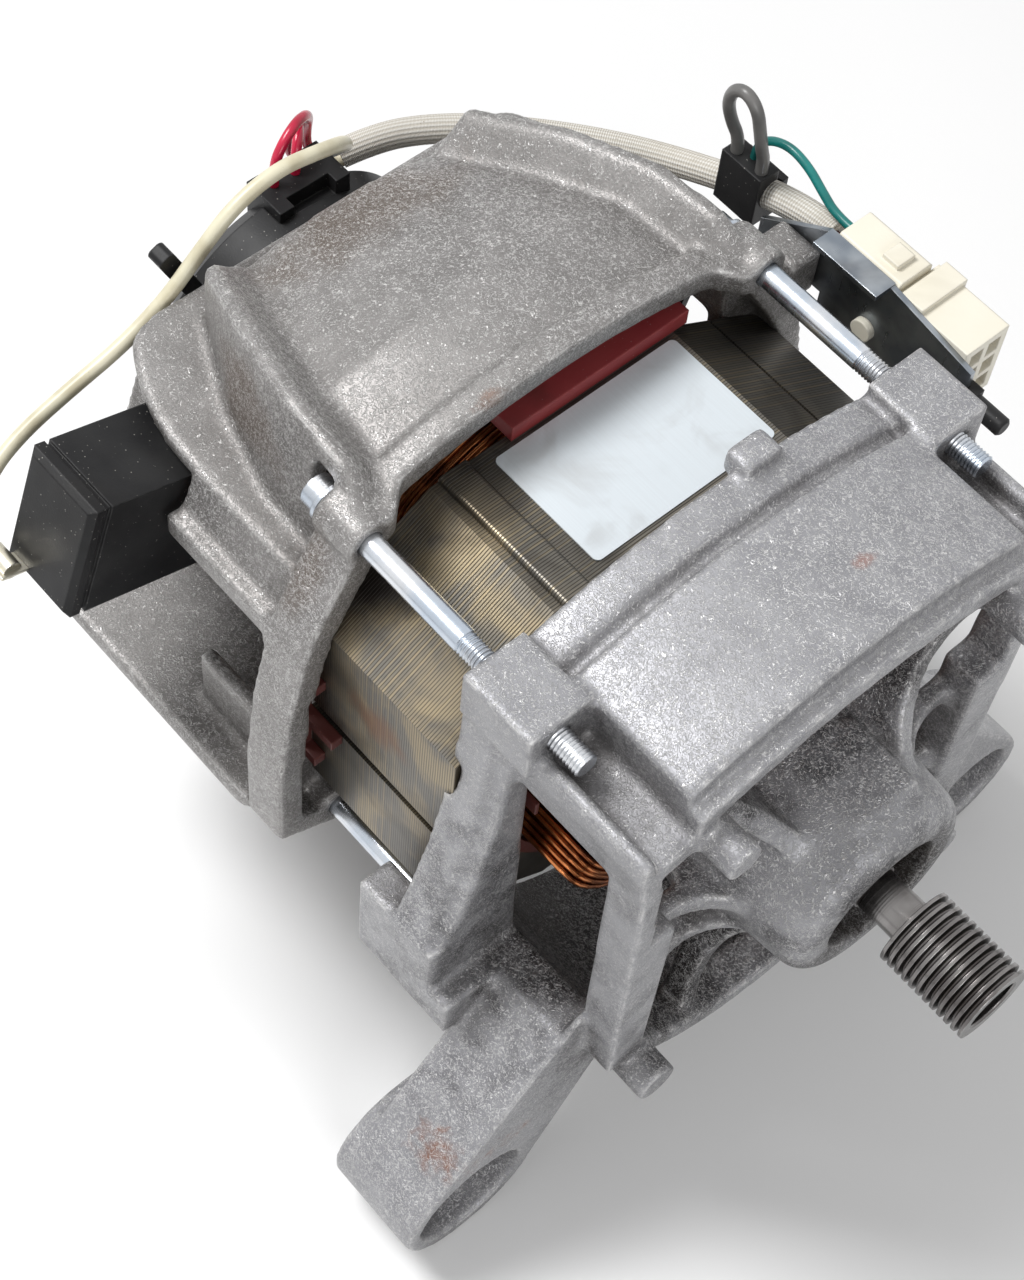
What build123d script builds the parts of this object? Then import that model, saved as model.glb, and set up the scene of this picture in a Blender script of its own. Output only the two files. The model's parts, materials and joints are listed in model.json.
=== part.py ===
from build123d import *

import os
from math import asin, atan2, cos, degrees, hypot, pi, radians, sin, sqrt, tan

# Drum motor of a washing machine: a universal motor held between two die-cast shields, in millimetres.
# The origin is on the shaft's axis, at the middle of the pulley's ribs. +X points out of the pulley end,
# +Z up through the rating plate, and +Y to the side that carries the connectors.

os.makedirs("parts", exist_ok=True)

# Stations along the shaft, each from the one before it
rib_pitch = 2.34
rib_count = 12
hub_setback = 23.4
front_shield_depth = 79.1
register_front = 2.5
stack_length = 52.0
register_rear = 8.0
rear_rim_depth = 14.0
hood_run = 73.0
wing_run = 9.0

# Fits
seat_gap = 0.05
run_gap = 0.06
curve_gap = 0.3
overrun = 1.0

# Stack
stack_half_width = 73.0
stack_half_height = 62.0
stack_top_flat = 38.0
stack_side_rise = 40.0
stack_side_drop = 34.0
stack_bottom_flat = 36.0
rotor_radius = 35.4
air_gap = 0.6
pole_shoe = 4.5
slot_outer_radius = 53.6
slot_half_angle = 52.0
mouth_half_angle = 13.0
bead_width = 9.0
bead_height = 1.6
bead_y = -31.0
groove_width = 3.0
groove_depth = 2.0
facet_slot_width = 1.2
facet_slot_depth = 2.0
facet_slot_share = 0.45

# Rating plate
plate_run = 36.5
plate_span = 58.0
plate_thickness = 0.4
plate_y = 7.5
plate_shift = 4.25

# Bolts
bolt_radius = 3.25
bolt_span_top = 62.6
bolt_rise_top = 71.0
bolt_span_low = 70.0
bolt_drop_low = 47.0
bolt_tip_run = 31.5
thread_pitch = 1.0
thread_depth = 0.45
thread_back_run = 8.5
bolt_head_radius = 4.4
bolt_head_height = 4.6
bolt_flange_radius = 5.4
bolt_flange_height = 1.2
bolt_socket_radius = 2.4
bolt_socket_depth = 2.6
boss_radius = 9.0
front_boss_depth = 22.5
low_lug_back = 12.5
low_lug_depth = 35.0

# Rear shield
arch_radius = 165.0
rear_crown = 85.0
rear_reach = 90.0
rear_band = 8.0
rear_arch_half = 54.7
rear_boss_radius = 6.6
rear_wall = 4.5
rim_lip = 6.0
hood_half_width = 49.0
hood_edge_level = 74.5
ridge_reach = 60.2
ridge_level = 82.8
ridge_width = 3.5
foot_reach = 64.5
wing_level = 50.0
wing_thickness = 5.0
wing_reach = 72.5
wing_lobe = 38.0
floor_level = -44.0
floor_thickness = 6.0
floor_half_width = 90.0
bar_thickness = 8.0
bar_level = 35.0
bar_reach = 82.0
bar_run = 39.0
side_wall = 5.0
web_run = 33.0
web_height = 27.0
back_wall = 6.0
back_wall_reach = 59.5
rear_hub_radius = 23.0
rear_hub_depth = 20.0
foot_drop = 131.9
foot_span = 90.0
foot_run = 40.0
foot_web = 8.0
foot_setback = 15.0

# Front shield
collar_crown = 83.0
collar_reach = 88.0
collar_width = 10.5
collar_step = 5.0
shell_wall = 4.5
pillow_half_width = 53.0
pillow_crown = 85.5
pillow_length = 38.0
groove_crown = 80.5
shelf_level = 64.0
shelf_reach = 69.0
shell_drop = 44.0
bottom_radius = 84.0
front_plate_back = 33.6
front_edge_back = 21.6
rail_height = 4.0
rail_width = 4.0
window_top = 46.0
window_bottom = 42.0
hub_radius = 28.75
hub_depth = 40.6
hub_flare = 3.0
hub_round = 7.0
spoke_reach = 64.0
spoke_half = 3.2
spoke_hollow = 9.0
pad_width = 20.0
pad_y = 4.0
pad_rise = 1.0
bracket_depth = 15.0
bracket_width = 12.0
bracket_height = 74.0
bracket_y = 57.0
bracket_z = -20.0
tab_width = 12.0
tab_height = 4.0
tab_y = 15.0
peg_y = 47.0
peg_z = 60.0
peg_radius = 5.0
peg_length = 10.0
low_peg_y = 53.0
low_peg_z = 62.0
low_peg_radius = 6.0
low_peg_length = 9.0
lug_wall = 10.0
lug_height = 34.0
lug_z = -40.0

# Mounting eyes
eye_half_span = 96.5
eye_drop = 110.0
eye_outer_radius = 21.9
eye_bore_radius = 17.0
eye_length = 31.0
eye_back = 31.6
arm_width = 27.0

# Shaft and bearings
shaft_radius = 5.95
front_journal_radius = 7.5
rotor_seat_radius = 8.0
rear_journal_radius = 6.0
shaft_recess = 5.0
front_bearing_radius = 17.5
front_bearing_width = 11.0
front_bearing_back = 14.0
rear_bearing_radius = 16.0
rear_bearing_width = 10.0
ball_radius = 2.4
ball_count = 8
ring_wall_share = 0.26
seal_thickness = 1.0
flare_radius = 10.2
flare_length = 7.0
flare_back = 3.0
washer_thickness = 0.6

# Pulley
pulley_radius = 11.0
rib_depth = 1.7
rib_tip_share = 0.2
pulley_mouth_radius = 7.2
pulley_mouth_depth = 6.0

# Windings
coil_half_angle = 71.0
pole_half_angle = 38.0
coil_overhang = 23.0
coil_inner_gap = 0.8
coil_outer_gap = 2.6
wire_radius = 0.75
wire_step = 2.2
wire_turns = 9
wire_lift = 0.45
armature_overhang = 19.0
armature_radius = 31.0
armature_hub_radius = 13.0
rotor_slots = 24
rotor_slot_width = 1.6
rotor_slot_depth = 9.0

# Commutator and brushes
commutator_radius = 19.0
commutator_length = 22.0
commutator_back = 60.5
bar_count = 24
bar_gap = 0.8
bar_gap_depth = 1.2
brush_tilt = 18.0
brush_width = 6.3
brush_depth = 12.5
brush_length = 38.0
spring_length = 24.0
spring_radius = 2.5
spring_turns = 9
box_reach = 111.0
box_root = 66.0
box_height = 37.0
box_width = 25.0
box_lip = 1.5
guide_wall = 1.6
seat_plate = 6.0
terminal_thickness = 0.8
terminal_width = 6.3
terminal_length = 8.0

# Tacho end
cap_radius = 43.0
cap_depth = 20.0
cap_wall = 2.5
magnet_radius = 11.0
magnet_depth = 7.0
tacho_coil_radius = 17.0
tacho_block_y = 5.5
tacho_block_width = 23.0
tacho_block_low = 11.0
tacho_block_high = 46.0
tacho_block_depth = 14.0

# Winding frames
frame_band = 3.4
frame_plate = 2.0
tongue_run = 12.0
tongue_rise = 18.0
tongue_height = 5.0
slab_depth = 8.0
slab_lap = 2.0
slab_y = 14.0
slab_span = 57.0
slab_rise = 5.0
clip_spine = 4.0
clip_thickness = 3.4
clip_height = 39.0
clip_z = -3.0
clip_reach = 12.0

# Small pieces of the brush boxes and the tacho cap
spring_wire = 0.35
box_step = 4.0
cap_arm_width = 5.0
cap_arm_lean = 24.0

# Connectors and their bracket
bracket_plane = 85.0
bracket_top = 72.0
bracket_sheet = 1.6
bracket_flange = 7.0
bracket_lead = 9.0
bracket_lug = 9.0
small_pin_radius = 2.0
peg_rise = 52.0
end_pin_radius = 2.6
end_pin_length = 13.0
connector_shift = 5.0
plug_length = 21.0
plug_depth = 12.0
plug_height = 22.0
plug_z = 61.0
housing_length = 24.0
housing_depth = 15.0
housing_height = 24.0
housing_z = 57.0
clip_body_length = 14.0
clip_share = 0.6
clip_body_width = 11.4
clip_top = 66.0

# Leads: radii, then the places that each route passes
sleeve_radius = 4.0
cream_radius = 2.0
red_radius = 1.4
grey_radius = 1.7
teal_radius = 1.2
sleeve_route = (
    (-265.5, 28.0, 30.0),
    (-262.0, 38.0, 33.0),
    (-254.0, 49.0, 36.0),
    (-242.0, 61.0, 38.5),
    (-222.0, 78.0, 40.0),
    (-200.0, 91.0, 42.0),
    (-160.0, 91.0, 62.5),
    (-147.0, 91.0, 62.5),
)
cream_route = (
    (-263.83, 27.32, 29.97),
    (-264.94, 24.14, 29.0),
    (-265.0, 20.8, 32.5),
    (-262.5, 19.8, 38.5),
    (-257.5, 20.2, 45.0),
    (-252.0, 19.0, 52.0),
    (-247.5, 14.0, 60.0),
    (-244.0, 4.0, 67.0),
    (-243.5, -10.0, 70.5),
    (-243.5, -24.0, 66.5),
    (-243.5, -35.0, 57.0),
    (-243.5, -46.0, 47.0),
    (-243.5, -60.0, 39.5),
    (-243.5, -76.0, 35.0),
    (-243.5, -92.0, 29.5),
    (-241.0, -104.0, 25.0),
)
red_route_a = (
    (-257.0, -1.0, 46.05),
    (-257.0, -1.0, 53.5),
    (-257.8, 3.0, 58.8),
    (-259.8, 8.8, 60.5),
    (-262.8, 14.2, 57.0),
    (-266.0, 17.6, 51.0),
    (-268.5, 19.0, 44.0),
    (-269.5, 19.6, 37.5),
    (-269.5, 21.0, 32.8),
    (-268.55, 24.4, 30.4),
    (-267.28, 28.06, 31.51),
)
red_route_b = (
    (-257.0, 6.0, 46.05),
    (-257.0, 6.0, 50.0),
    (-259.6, 9.0, 54.6),
    (-263.8, 12.6, 53.4),
    (-267.5, 15.2, 48.5),
    (-270.7, 15.6, 42.0),
    (-272.4, 15.6, 35.0),
    (-272.0, 17.8, 29.6),
    (-270.2, 21.4, 27.2),
    (-268.26, 25.2, 27.3),
    (-266.99, 28.88, 28.43),
)
grey_route = (
    (-180.5, 88.0, 66.05),
    (-180.5, 88.0, 70.5),
    (-183.0, 86.3, 76.5),
    (-184.0, 85.0, 83.0),
    (-182.3, 84.5, 89.0),
    (-178.0, 84.3, 91.5),
    (-173.9, 84.5, 88.5),
    (-172.2, 85.0, 82.0),
    (-171.5, 86.2, 75.5),
    (-171.5, 88.0, 70.5),
    (-171.5, 88.0, 66.05),
)
teal_route = (
    (-176.0, 90.0, 66.05),
    (-176.0, 90.0, 70.5),
    (-173.0, 91.0, 74.5),
    (-167.0, 91.8, 76.5),
    (-160.0, 91.5, 75.5),
    (-153.5, 91.0, 72.0),
    (-148.0, 90.5, 69.5),
    (-142.05, 90.5, 69.5),
)
dark_red_route = (
    (-146.95, 91.0, 62.5),
    (-142.05, 91.0, 62.5),
)


def arch_z(crown, y):
    """Height at y of the castings' shallow arch whose top stands at crown."""
    return crown - arch_radius + sqrt(arch_radius**2 - y**2)


def mirrored(points):
    """A closed outline from its left half, listed from the top to the bottom."""
    return list(points) + [(-y, z) for y, z in reversed(points) if abs(y) > 0]


def write(builder, name):
    """Labels a finished piece and writes its file."""
    builder.part.label = name
    export_step(builder.part, f"parts/{name}.step")


def ring(x_start, x_end, inner, outer):
    """Adds a plain ring round the shaft's axis to the part being built."""
    with BuildSketch(Plane.YZ.offset(x_start)) as face:
        Circle(outer)
        if inner > 0:
            Circle(inner, mode=Mode.SUBTRACT)
    extrude(face.sketch, amount=x_end - x_start)


def radial_plane(angle):
    """The plane through the shaft's axis whose local x runs along it and local y points out at angle."""
    a = radians(angle)
    return Plane(origin=(0, 0, 0), x_dir=(1, 0, 0), z_dir=(0, -sin(a), cos(a)))


def arch_face(crown, half_width, low):
    """A section with the arched top, straight sides at half_width and a flat bottom at low."""
    side_z = arch_z(crown, half_width)
    with BuildLine() as outline:
        ThreePointArc((-half_width, side_z), (0, crown), (half_width, side_z))
        Polyline((half_width, side_z), (half_width, low), (-half_width, low), (-half_width, side_z))
    make_face(outline.edges())


def tangent_point(point, centre, radius, side):
    """Where the line from point touches the circle, on its left (side 1) or right (side -1)."""
    dy, dz = centre[0] - point[0], centre[1] - point[1]
    reach = hypot(dy, dz)
    run = sqrt(reach**2 - radius**2)
    angle = atan2(dz, dy) + side * asin(radius / reach)
    return (point[0] + run * cos(angle), point[1] + run * sin(angle))


def sector_face(inner, outer, middle, half_angle):
    """A piece of a ring's face, half_angle either side of the direction middle."""
    start, end = radians(middle - half_angle), radians(middle + half_angle)
    ends = ((inner, start), (outer, start), (outer, end), (inner, end))
    corners = [(r * cos(a), r * sin(a)) for r, a in ends]
    mid = radians(middle)
    with BuildLine() as outline:
        Line(corners[0], corners[1])
        ThreePointArc(corners[1], (outer * cos(mid), outer * sin(mid)), corners[2])
        Line(corners[2], corners[3])
        ThreePointArc(corners[3], (inner * cos(mid), inner * sin(mid)), corners[0])
    make_face(outline.edges())


# Stations worked out from the sizes above
pulley_half = rib_pitch * (rib_count - 1) / 2
hub_x = -hub_setback
shield_rear_x = hub_x - front_shield_depth
stack_front_x = shield_rear_x + register_front
stack_rear_x = stack_front_x - stack_length
stack_mid_x = (stack_front_x + stack_rear_x) / 2
rear_face_x = stack_rear_x + register_rear
rim_rear_x = rear_face_x - rear_rim_depth
rim_lip_x = rear_face_x - rim_lip
hood_rear_x = rim_rear_x - hood_run
wing_rear_x = hood_rear_x - wing_run
back_wall_x = wing_rear_x + back_wall
bolt_tip_x = shield_rear_x + bolt_tip_run
bolt_head_x = rim_rear_x - bolt_flange_height
front_edge_x = hub_x - front_edge_back
plate_rear_x = hub_x - front_plate_back
collar_front_x = shield_rear_x + collar_width + collar_step
hub_rear_x = hub_x - hub_depth
eye_front_x = hub_x - eye_back
front_bearing_rear_x = hub_x - front_bearing_back - front_bearing_width
rear_bearing_rear_x = back_wall_x - back_wall / 2 - rear_bearing_width / 2
brush_x = stack_rear_x - commutator_back
bolt_places = (
    (-bolt_span_top, bolt_rise_top),
    (bolt_span_top, bolt_rise_top),
    (-bolt_span_low, -bolt_drop_low),
    (bolt_span_low, -bolt_drop_low),
)
stack_outline = mirrored(
    [
        (-stack_top_flat, stack_half_height),
        (-stack_half_width, stack_side_rise),
        (-stack_half_width, -stack_side_drop),
        (-stack_bottom_flat, -stack_half_height),
    ]
)
bore_radius = rotor_radius + air_gap
shoe_radius = bore_radius + pole_shoe


# Stator core: the lamination pack with its bore, its coil windows and the bead beside the plate
with BuildPart() as stator_core:
    with BuildSketch(Plane.YZ.offset(stack_rear_x)):
        with BuildLine():
            Polyline(*stack_outline, close=True)
        make_face()
        with Locations((bead_y, stack_half_height)):
            RectangleRounded(bead_width, 2 * bead_height, 0.9 * bead_height)
    extrude(amount=stack_length)
    with BuildSketch(Plane.YZ.offset(stack_rear_x)):
        Circle(bore_radius)
        for side in (0, 180):
            sector_face(shoe_radius, slot_outer_radius, side, slot_half_angle)
            sector_face(rotor_radius, shoe_radius + seat_gap, side, mouth_half_angle)
        with Locations((-stack_half_width, 0), (stack_half_width, 0)):
            Rectangle(2 * groove_depth, groove_width)
    extrude(amount=stack_length, mode=Mode.SUBTRACT)
    facet_fall = degrees(atan2(stack_half_height - stack_side_rise, stack_half_width - stack_top_flat))
    facet_y = stack_top_flat + facet_slot_share * (stack_half_width - stack_top_flat)
    facet_z = stack_half_height - facet_slot_share * (stack_half_height - stack_side_rise)
    for side in (-1, 1):
        with BuildSketch(Plane.YZ.offset(stack_rear_x)):
            with Locations(Location((side * facet_y, facet_z, 0), (0, 0, -side * facet_fall))):
                Rectangle(facet_slot_width, 2 * facet_slot_depth)
        extrude(amount=stack_length, mode=Mode.SUBTRACT)
write(stator_core, "stator_core")


# Rating plate: a bare foil label on the stack's top
plate_x = stack_mid_x - plate_shift
with BuildPart() as rating_plate:
    with BuildSketch(Plane.XY.offset(stack_half_height)):
        with Locations((plate_x, plate_y)):
            RectangleRounded(plate_run, plate_span, plate_thickness * 4)
    extrude(amount=plate_thickness)
write(rating_plate, "rating_plate")


# Through bolts: four long screws with ridged threads at the front and a socket in each head
thread_count = round((bolt_tip_run + thread_back_run) / thread_pitch)
thread_points = []
for turn in range(thread_count):
    root_x = bolt_tip_x - turn * thread_pitch
    thread_points.append((root_x, bolt_radius - thread_depth))
    thread_points.append((root_x - thread_pitch / 2, bolt_radius))
thread_end_x = bolt_tip_x - thread_count * thread_pitch
with BuildPart() as bolt:
    with BuildSketch(Plane.XY):
        with BuildLine():
            Polyline(
                (bolt_tip_x, 0),
                *thread_points,
                (thread_end_x, bolt_radius - thread_depth),
                (thread_end_x - thread_depth, bolt_radius),
                (rim_rear_x, bolt_radius),
                (rim_rear_x, bolt_flange_radius),
                (bolt_head_x, bolt_flange_radius),
                (bolt_head_x, bolt_head_radius),
                (bolt_head_x - bolt_head_height, bolt_head_radius),
                (bolt_head_x - bolt_head_height, 0),
                close=True,
            )
        make_face()
    revolve(axis=Axis.X)
    with BuildSketch(Plane.YZ.offset(bolt_head_x - bolt_head_height)):
        RegularPolygon(bolt_socket_radius, 6)
    extrude(amount=bolt_socket_depth, mode=Mode.SUBTRACT)
with BuildPart() as through_bolts:
    with Locations(*[(0, y, z) for y, z in bolt_places]):
        add(bolt.part)
write(through_bolts, "through_bolts")


# Front shield: the die-cast end with the pulley-side bearing and the two mounting eyes
collar_side_shares = (
    (0.636, 0.925),
    (0.801, 0.925),
    (0.801, 0.723),
    (0.83, 0.361),
    (0.886, 0.06),
    (0.943, -0.145),
    (1.0, -0.289),
    (1.0, -0.687),
    (0.875, -0.735),
    (0.7, -0.765),
)
spokes = ((128, 1.16), (52, 1.16), (176, 0.9), (208, 0.9), (4, 0.9), (-28, 0.9), (248, 1.2), (292, 1.2))
seat_radius = front_bearing_radius + seat_gap
arm_root_out = (0.955 * shelf_reach, 0.8 * shell_drop)
arm_root_in = (0.72 * shelf_reach, 1.45 * shell_drop)


def collar_face(grow):
    """The collar's outline, grown outwards by grow."""
    reach, crown = collar_reach + grow, collar_crown + grow
    side = [(-y * reach, z * crown) for y, z in collar_side_shares]
    start = (side[0][0], arch_z(crown, side[0][0]))
    with BuildLine() as outline:
        ThreePointArc((-start[0], start[1]), (0, crown), start)
        Polyline(start, *side)
        ThreePointArc(side[-1], (0, -bottom_radius - grow), (-side[-1][0], side[-1][1]))
        Polyline(*[(-y, z) for y, z in reversed(side)], (-start[0], start[1]))
    make_face(outline.edges())


def shell_face():
    """The shell's outline between the collar and the front plate."""
    roof_z = arch_z(groove_crown, pillow_half_width)
    side = (
        (-pillow_half_width, roof_z),
        (-pillow_half_width, shelf_level),
        (-shelf_reach, shelf_level - shell_wall / 2),
        (-0.96 * shelf_reach, 0.72 * shelf_level),
        (-0.92 * shelf_reach, -shell_drop),
    )
    with BuildLine() as outline:
        ThreePointArc((pillow_half_width, roof_z), (0, groove_crown), side[0])
        Polyline(*side)
        ThreePointArc(side[-1], (0, -bottom_radius), (-side[-1][0], side[-1][1]))
        Polyline(*[(-y, z) for y, z in reversed(side)])
    make_face(outline.edges())


with BuildPart() as front_shield:
    for grow, depth in ((0, collar_width), (-shell_wall / 2, collar_width + collar_step)):
        with BuildSketch(Plane.YZ.offset(shield_rear_x)):
            collar_face(grow)
        extrude(amount=depth)
    with BuildSketch(Plane.YZ.offset(shield_rear_x)):
        shell_face()
    extrude(amount=front_edge_x - shield_rear_x)
    pillow_front_x = front_edge_x - shell_wall
    with BuildSketch(Plane.YZ.offset(pillow_front_x)):
        arch_face(pillow_crown, pillow_half_width, shelf_level)
    extrude(amount=-pillow_length)
    boss_mid_x = shield_rear_x + front_boss_depth / 2
    with Locations(*[(boss_mid_x, y, z - 0.1 * boss_radius) for y, z in bolt_places[:2]]):
        Box(front_boss_depth, 2 * boss_radius, 1.8 * boss_radius)
    rail_x = (collar_front_x + front_edge_x) / 2
    for side in (-1, 1):
        with Locations((rail_x, side * (shelf_reach - rail_width / 2), shelf_level)):
            Box(front_edge_x - collar_front_x, rail_width, 2 * rail_height)
    # Hollow inside, open at the back for the stack's end and at the front around the hub
    with BuildSketch(Plane.YZ.offset(shield_rear_x)):
        shell_face()
        offset(amount=-shell_wall, kind=Kind.INTERSECTION, mode=Mode.REPLACE)
    extrude(amount=plate_rear_x - shield_rear_x, mode=Mode.SUBTRACT)
    with BuildSketch(Plane.YZ.offset(plate_rear_x - overrun)):
        shell_face()
        offset(amount=-1.4 * shell_wall, kind=Kind.INTERSECTION, mode=Mode.REPLACE)
    extrude(amount=front_edge_x - plate_rear_x + 2 * overrun, mode=Mode.SUBTRACT)
    # Hub, spokes and the side brackets that they run into
    with BuildSketch(Plane.XY):
        with BuildLine():
            Polyline(
                (hub_x, hub_radius - hub_round),
                (hub_x, 0),
                (hub_rear_x, 0),
                (hub_rear_x, hub_radius + hub_flare),
                (hub_x - hub_round, hub_radius),
            )
            RadiusArc((hub_x - hub_round, hub_radius), (hub_x, hub_radius - hub_round), hub_round)
        make_face()
    revolve(axis=Axis.X)
    for angle, reach_share in spokes:
        reach = reach_share * spoke_reach
        outer_end = (front_edge_x - spoke_half, reach)
        hub_end = (hub_x - 0.3 * hub_depth, 0.95 * hub_radius)
        hollow = ((outer_end[0] + hub_end[0]) / 2 - spoke_hollow, (outer_end[1] + hub_end[1]) / 2)
        with BuildSketch(radial_plane(angle)):
            with BuildLine():
                Polyline(
                    outer_end,
                    (plate_rear_x, reach),
                    (hub_rear_x, 0.8 * hub_radius),
                    (hub_x - 0.3 * hub_depth, 0.8 * hub_radius),
                    hub_end,
                )
                ThreePointArc(hub_end, hollow, outer_end)
            make_face()
        extrude(amount=spoke_half, both=True)
    for side in (-1, 1):
        with Locations((front_edge_x - bracket_depth / 2, side * bracket_y, bracket_z)):
            Box(bracket_depth, bracket_width, bracket_height)
    # Pegs on the front, the tab on the collar's rim and the flat pad on the hub's crown
    for y, z, radius, length in (
        (peg_y, peg_z, peg_radius, peg_length),
        (low_peg_y, -low_peg_z, low_peg_radius, low_peg_length),
    ):
        with BuildSketch(Plane.YZ.offset(front_edge_x - bracket_depth / 2)):
            with Locations((-y, z), (y, z)):
                Circle(radius)
        extrude(amount=bracket_depth / 2 + length)
    with BuildSketch(Plane.YZ.offset(shield_rear_x - tab_height)):
        with Locations((tab_y, arch_z(collar_crown, tab_y))):
            RectangleRounded(tab_width, 2 * tab_height, tab_height / 2)
    extrude(amount=2 * tab_height)
    with Locations((hub_x - hub_depth / 2, pad_y, hub_radius - pad_rise)):
        Box(0.56 * hub_depth, pad_width, 4 * pad_rise)
    # Arms, eyes and the lower bolt lugs
    for side in (-1, 1):
        centre = (side * eye_half_span, -eye_drop)
        root_out = (side * arm_root_out[0], -arm_root_out[1])
        root_in = (side * arm_root_in[0], -arm_root_in[1])
        touch_out = tangent_point(root_out, centre, eye_outer_radius, side)
        touch_in = tangent_point(root_in, centre, eye_outer_radius, -side)
        with BuildSketch(Plane.YZ.offset(eye_front_x - arm_width)):
            with BuildLine():
                Polyline(root_out, touch_out, centre, touch_in, root_in, close=True)
            make_face()
        extrude(amount=arm_width)
        with BuildSketch(Plane.YZ.offset(eye_front_x - eye_length)):
            with Locations(centre):
                Circle(eye_outer_radius)
        extrude(amount=eye_length)
        lug_x = shield_rear_x - low_lug_back + low_lug_depth / 2
        with Locations((lug_x, side * (collar_reach - lug_wall / 2), lug_z)):
            Box(low_lug_depth, lug_wall, lug_height)
        with BuildSketch(Plane.YZ.offset(shield_rear_x)):
            with Locations((side * bolt_span_low, -bolt_drop_low)):
                Circle(boss_radius)
        extrude(amount=front_boss_depth)
    # Side windows, through which the coil ends show
    window_run = plate_rear_x - collar_front_x
    window_mid_x = collar_front_x + window_run / 2
    for side in (-1, 1):
        with Locations((window_mid_x, side * shelf_reach, (window_top - window_bottom) / 2)):
            Box(window_run, 0.9 * shelf_reach, window_top + window_bottom, mode=Mode.SUBTRACT)
    # Bores: eyes, bolts, bearing seat and the way through the hub, then the register for the stack
    with BuildSketch(Plane.YZ.offset(eye_front_x - eye_length - overrun)):
        with Locations((-eye_half_span, -eye_drop), (eye_half_span, -eye_drop)):
            Circle(eye_bore_radius)
    extrude(amount=eye_length + 2 * overrun, mode=Mode.SUBTRACT)
    with BuildSketch(Plane.YZ.offset(shield_rear_x - low_lug_back - overrun)):
        with Locations(*bolt_places):
            Circle(bolt_radius + seat_gap)
    extrude(amount=bolt_tip_run + low_lug_back + 2 * overrun, mode=Mode.SUBTRACT)
    with BuildSketch(Plane.YZ.offset(front_bearing_rear_x)):
        Circle(seat_radius)
    extrude(amount=hub_x - front_bearing_rear_x + overrun, mode=Mode.SUBTRACT)
    with BuildSketch(Plane.YZ.offset(hub_rear_x - overrun)):
        Circle(0.78 * seat_radius)
    extrude(amount=hub_depth, mode=Mode.SUBTRACT)
    with BuildSketch(Plane.YZ.offset(shield_rear_x - low_lug_back - overrun)):
        with BuildLine():
            Polyline(*stack_outline, close=True)
        make_face()
        offset(amount=seat_gap, kind=Kind.INTERSECTION, mode=Mode.REPLACE)
    extrude(amount=low_lug_back + overrun + register_front, mode=Mode.SUBTRACT)
write(front_shield, "front_shield")


# Rear shield: the die-cast end with the brush side, the hood over the commutator and the rear foot
rear_side_shares = (
    (0.7, 0.885),
    (0.745, 0.8),
    (0.8, 0.7),
    (0.873, 0.547),
    (0.915, 0.42),
    (0.967, 0.15),
    (1.0, -0.2),
    (1.0, -0.52),
    (0.7, -0.7),
)


def rear_face(grow):
    """The rear rim's outline, grown outwards by grow."""
    reach, crown = rear_reach + grow, rear_crown + grow
    side = [(-y * reach, z * crown) for y, z in rear_side_shares]
    start = (-rear_arch_half, arch_z(crown, rear_arch_half))
    with BuildLine() as outline:
        ThreePointArc((-start[0], start[1]), (0, crown), start)
        Polyline(start, *side)
        ThreePointArc(side[-1], (0, -bottom_radius - grow), (-side[-1][0], side[-1][1]))
        Polyline(*[(-y, z) for y, z in reversed(side)], (-start[0], start[1]))
    make_face(outline.edges())


# Stations of the hood and its fins, from the rim to the rear, as shares of the hood's run, the ridge's reach
# and level, the hood edge's reach and level, the foot's reach and the rear crown
hood_station_shares = (
    (-0.1, 1.01, 0.935, 1.0, 0.98, 1.0, 0.965),
    (0.0, 1.0, 1.0, 1.0, 1.0, 1.0, 0.965),
    (0.3, 0.965, 1.0, 0.95, 1.01, 0.99, 0.968),
    (0.64, 0.86, 0.94, 0.8, 0.925, 0.88, 0.872),
    (1.0, 0.71, 0.826, 0.6, 0.8, 0.675, 0.757),
)


def hood_sections(wall, low):
    """The hood's sections with their fins, or, for a wall over zero, those of the hollow under them."""
    sections = []
    for run, reach, level, width, edge_level, foot, crown in hood_station_shares:
        edge = (hood_half_width * width - wall / 2, hood_edge_level * edge_level - wall)
        ridge = (ridge_reach * reach - 0.8 * wall, ridge_level * level - 2.4 * wall)
        side = [
            (-foot_reach * foot + wall, low),
            (-foot_reach * foot + wall, wing_level - wall),
            (-ridge[0], ridge[1]),
            (-edge[0], edge[1]),
        ]
        if wall == 0:
            side.insert(3, (ridge_width - ridge[0], ridge[1]))
        with BuildSketch(Plane.YZ.offset(rim_rear_x - run * hood_run)) as section:
            with BuildLine() as outline:
                Polyline(*side)
                ThreePointArc((-edge[0], edge[1]), (0, rear_crown * crown - wall), edge)
                Polyline(*[(-y, z) for y, z in reversed(side)], side[0])
            make_face(outline.edges())
        sections.append(section.sketch)
    return sections


def brush_plane(side):
    """The plane across a brush's line: local x along the shaft, local z outwards; side -1 is the left."""
    a = radians(brush_tilt)
    return Plane(origin=(brush_x, 0, 0), x_dir=(1, 0, 0), z_dir=(0, side * cos(a), -side * sin(a)))


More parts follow.
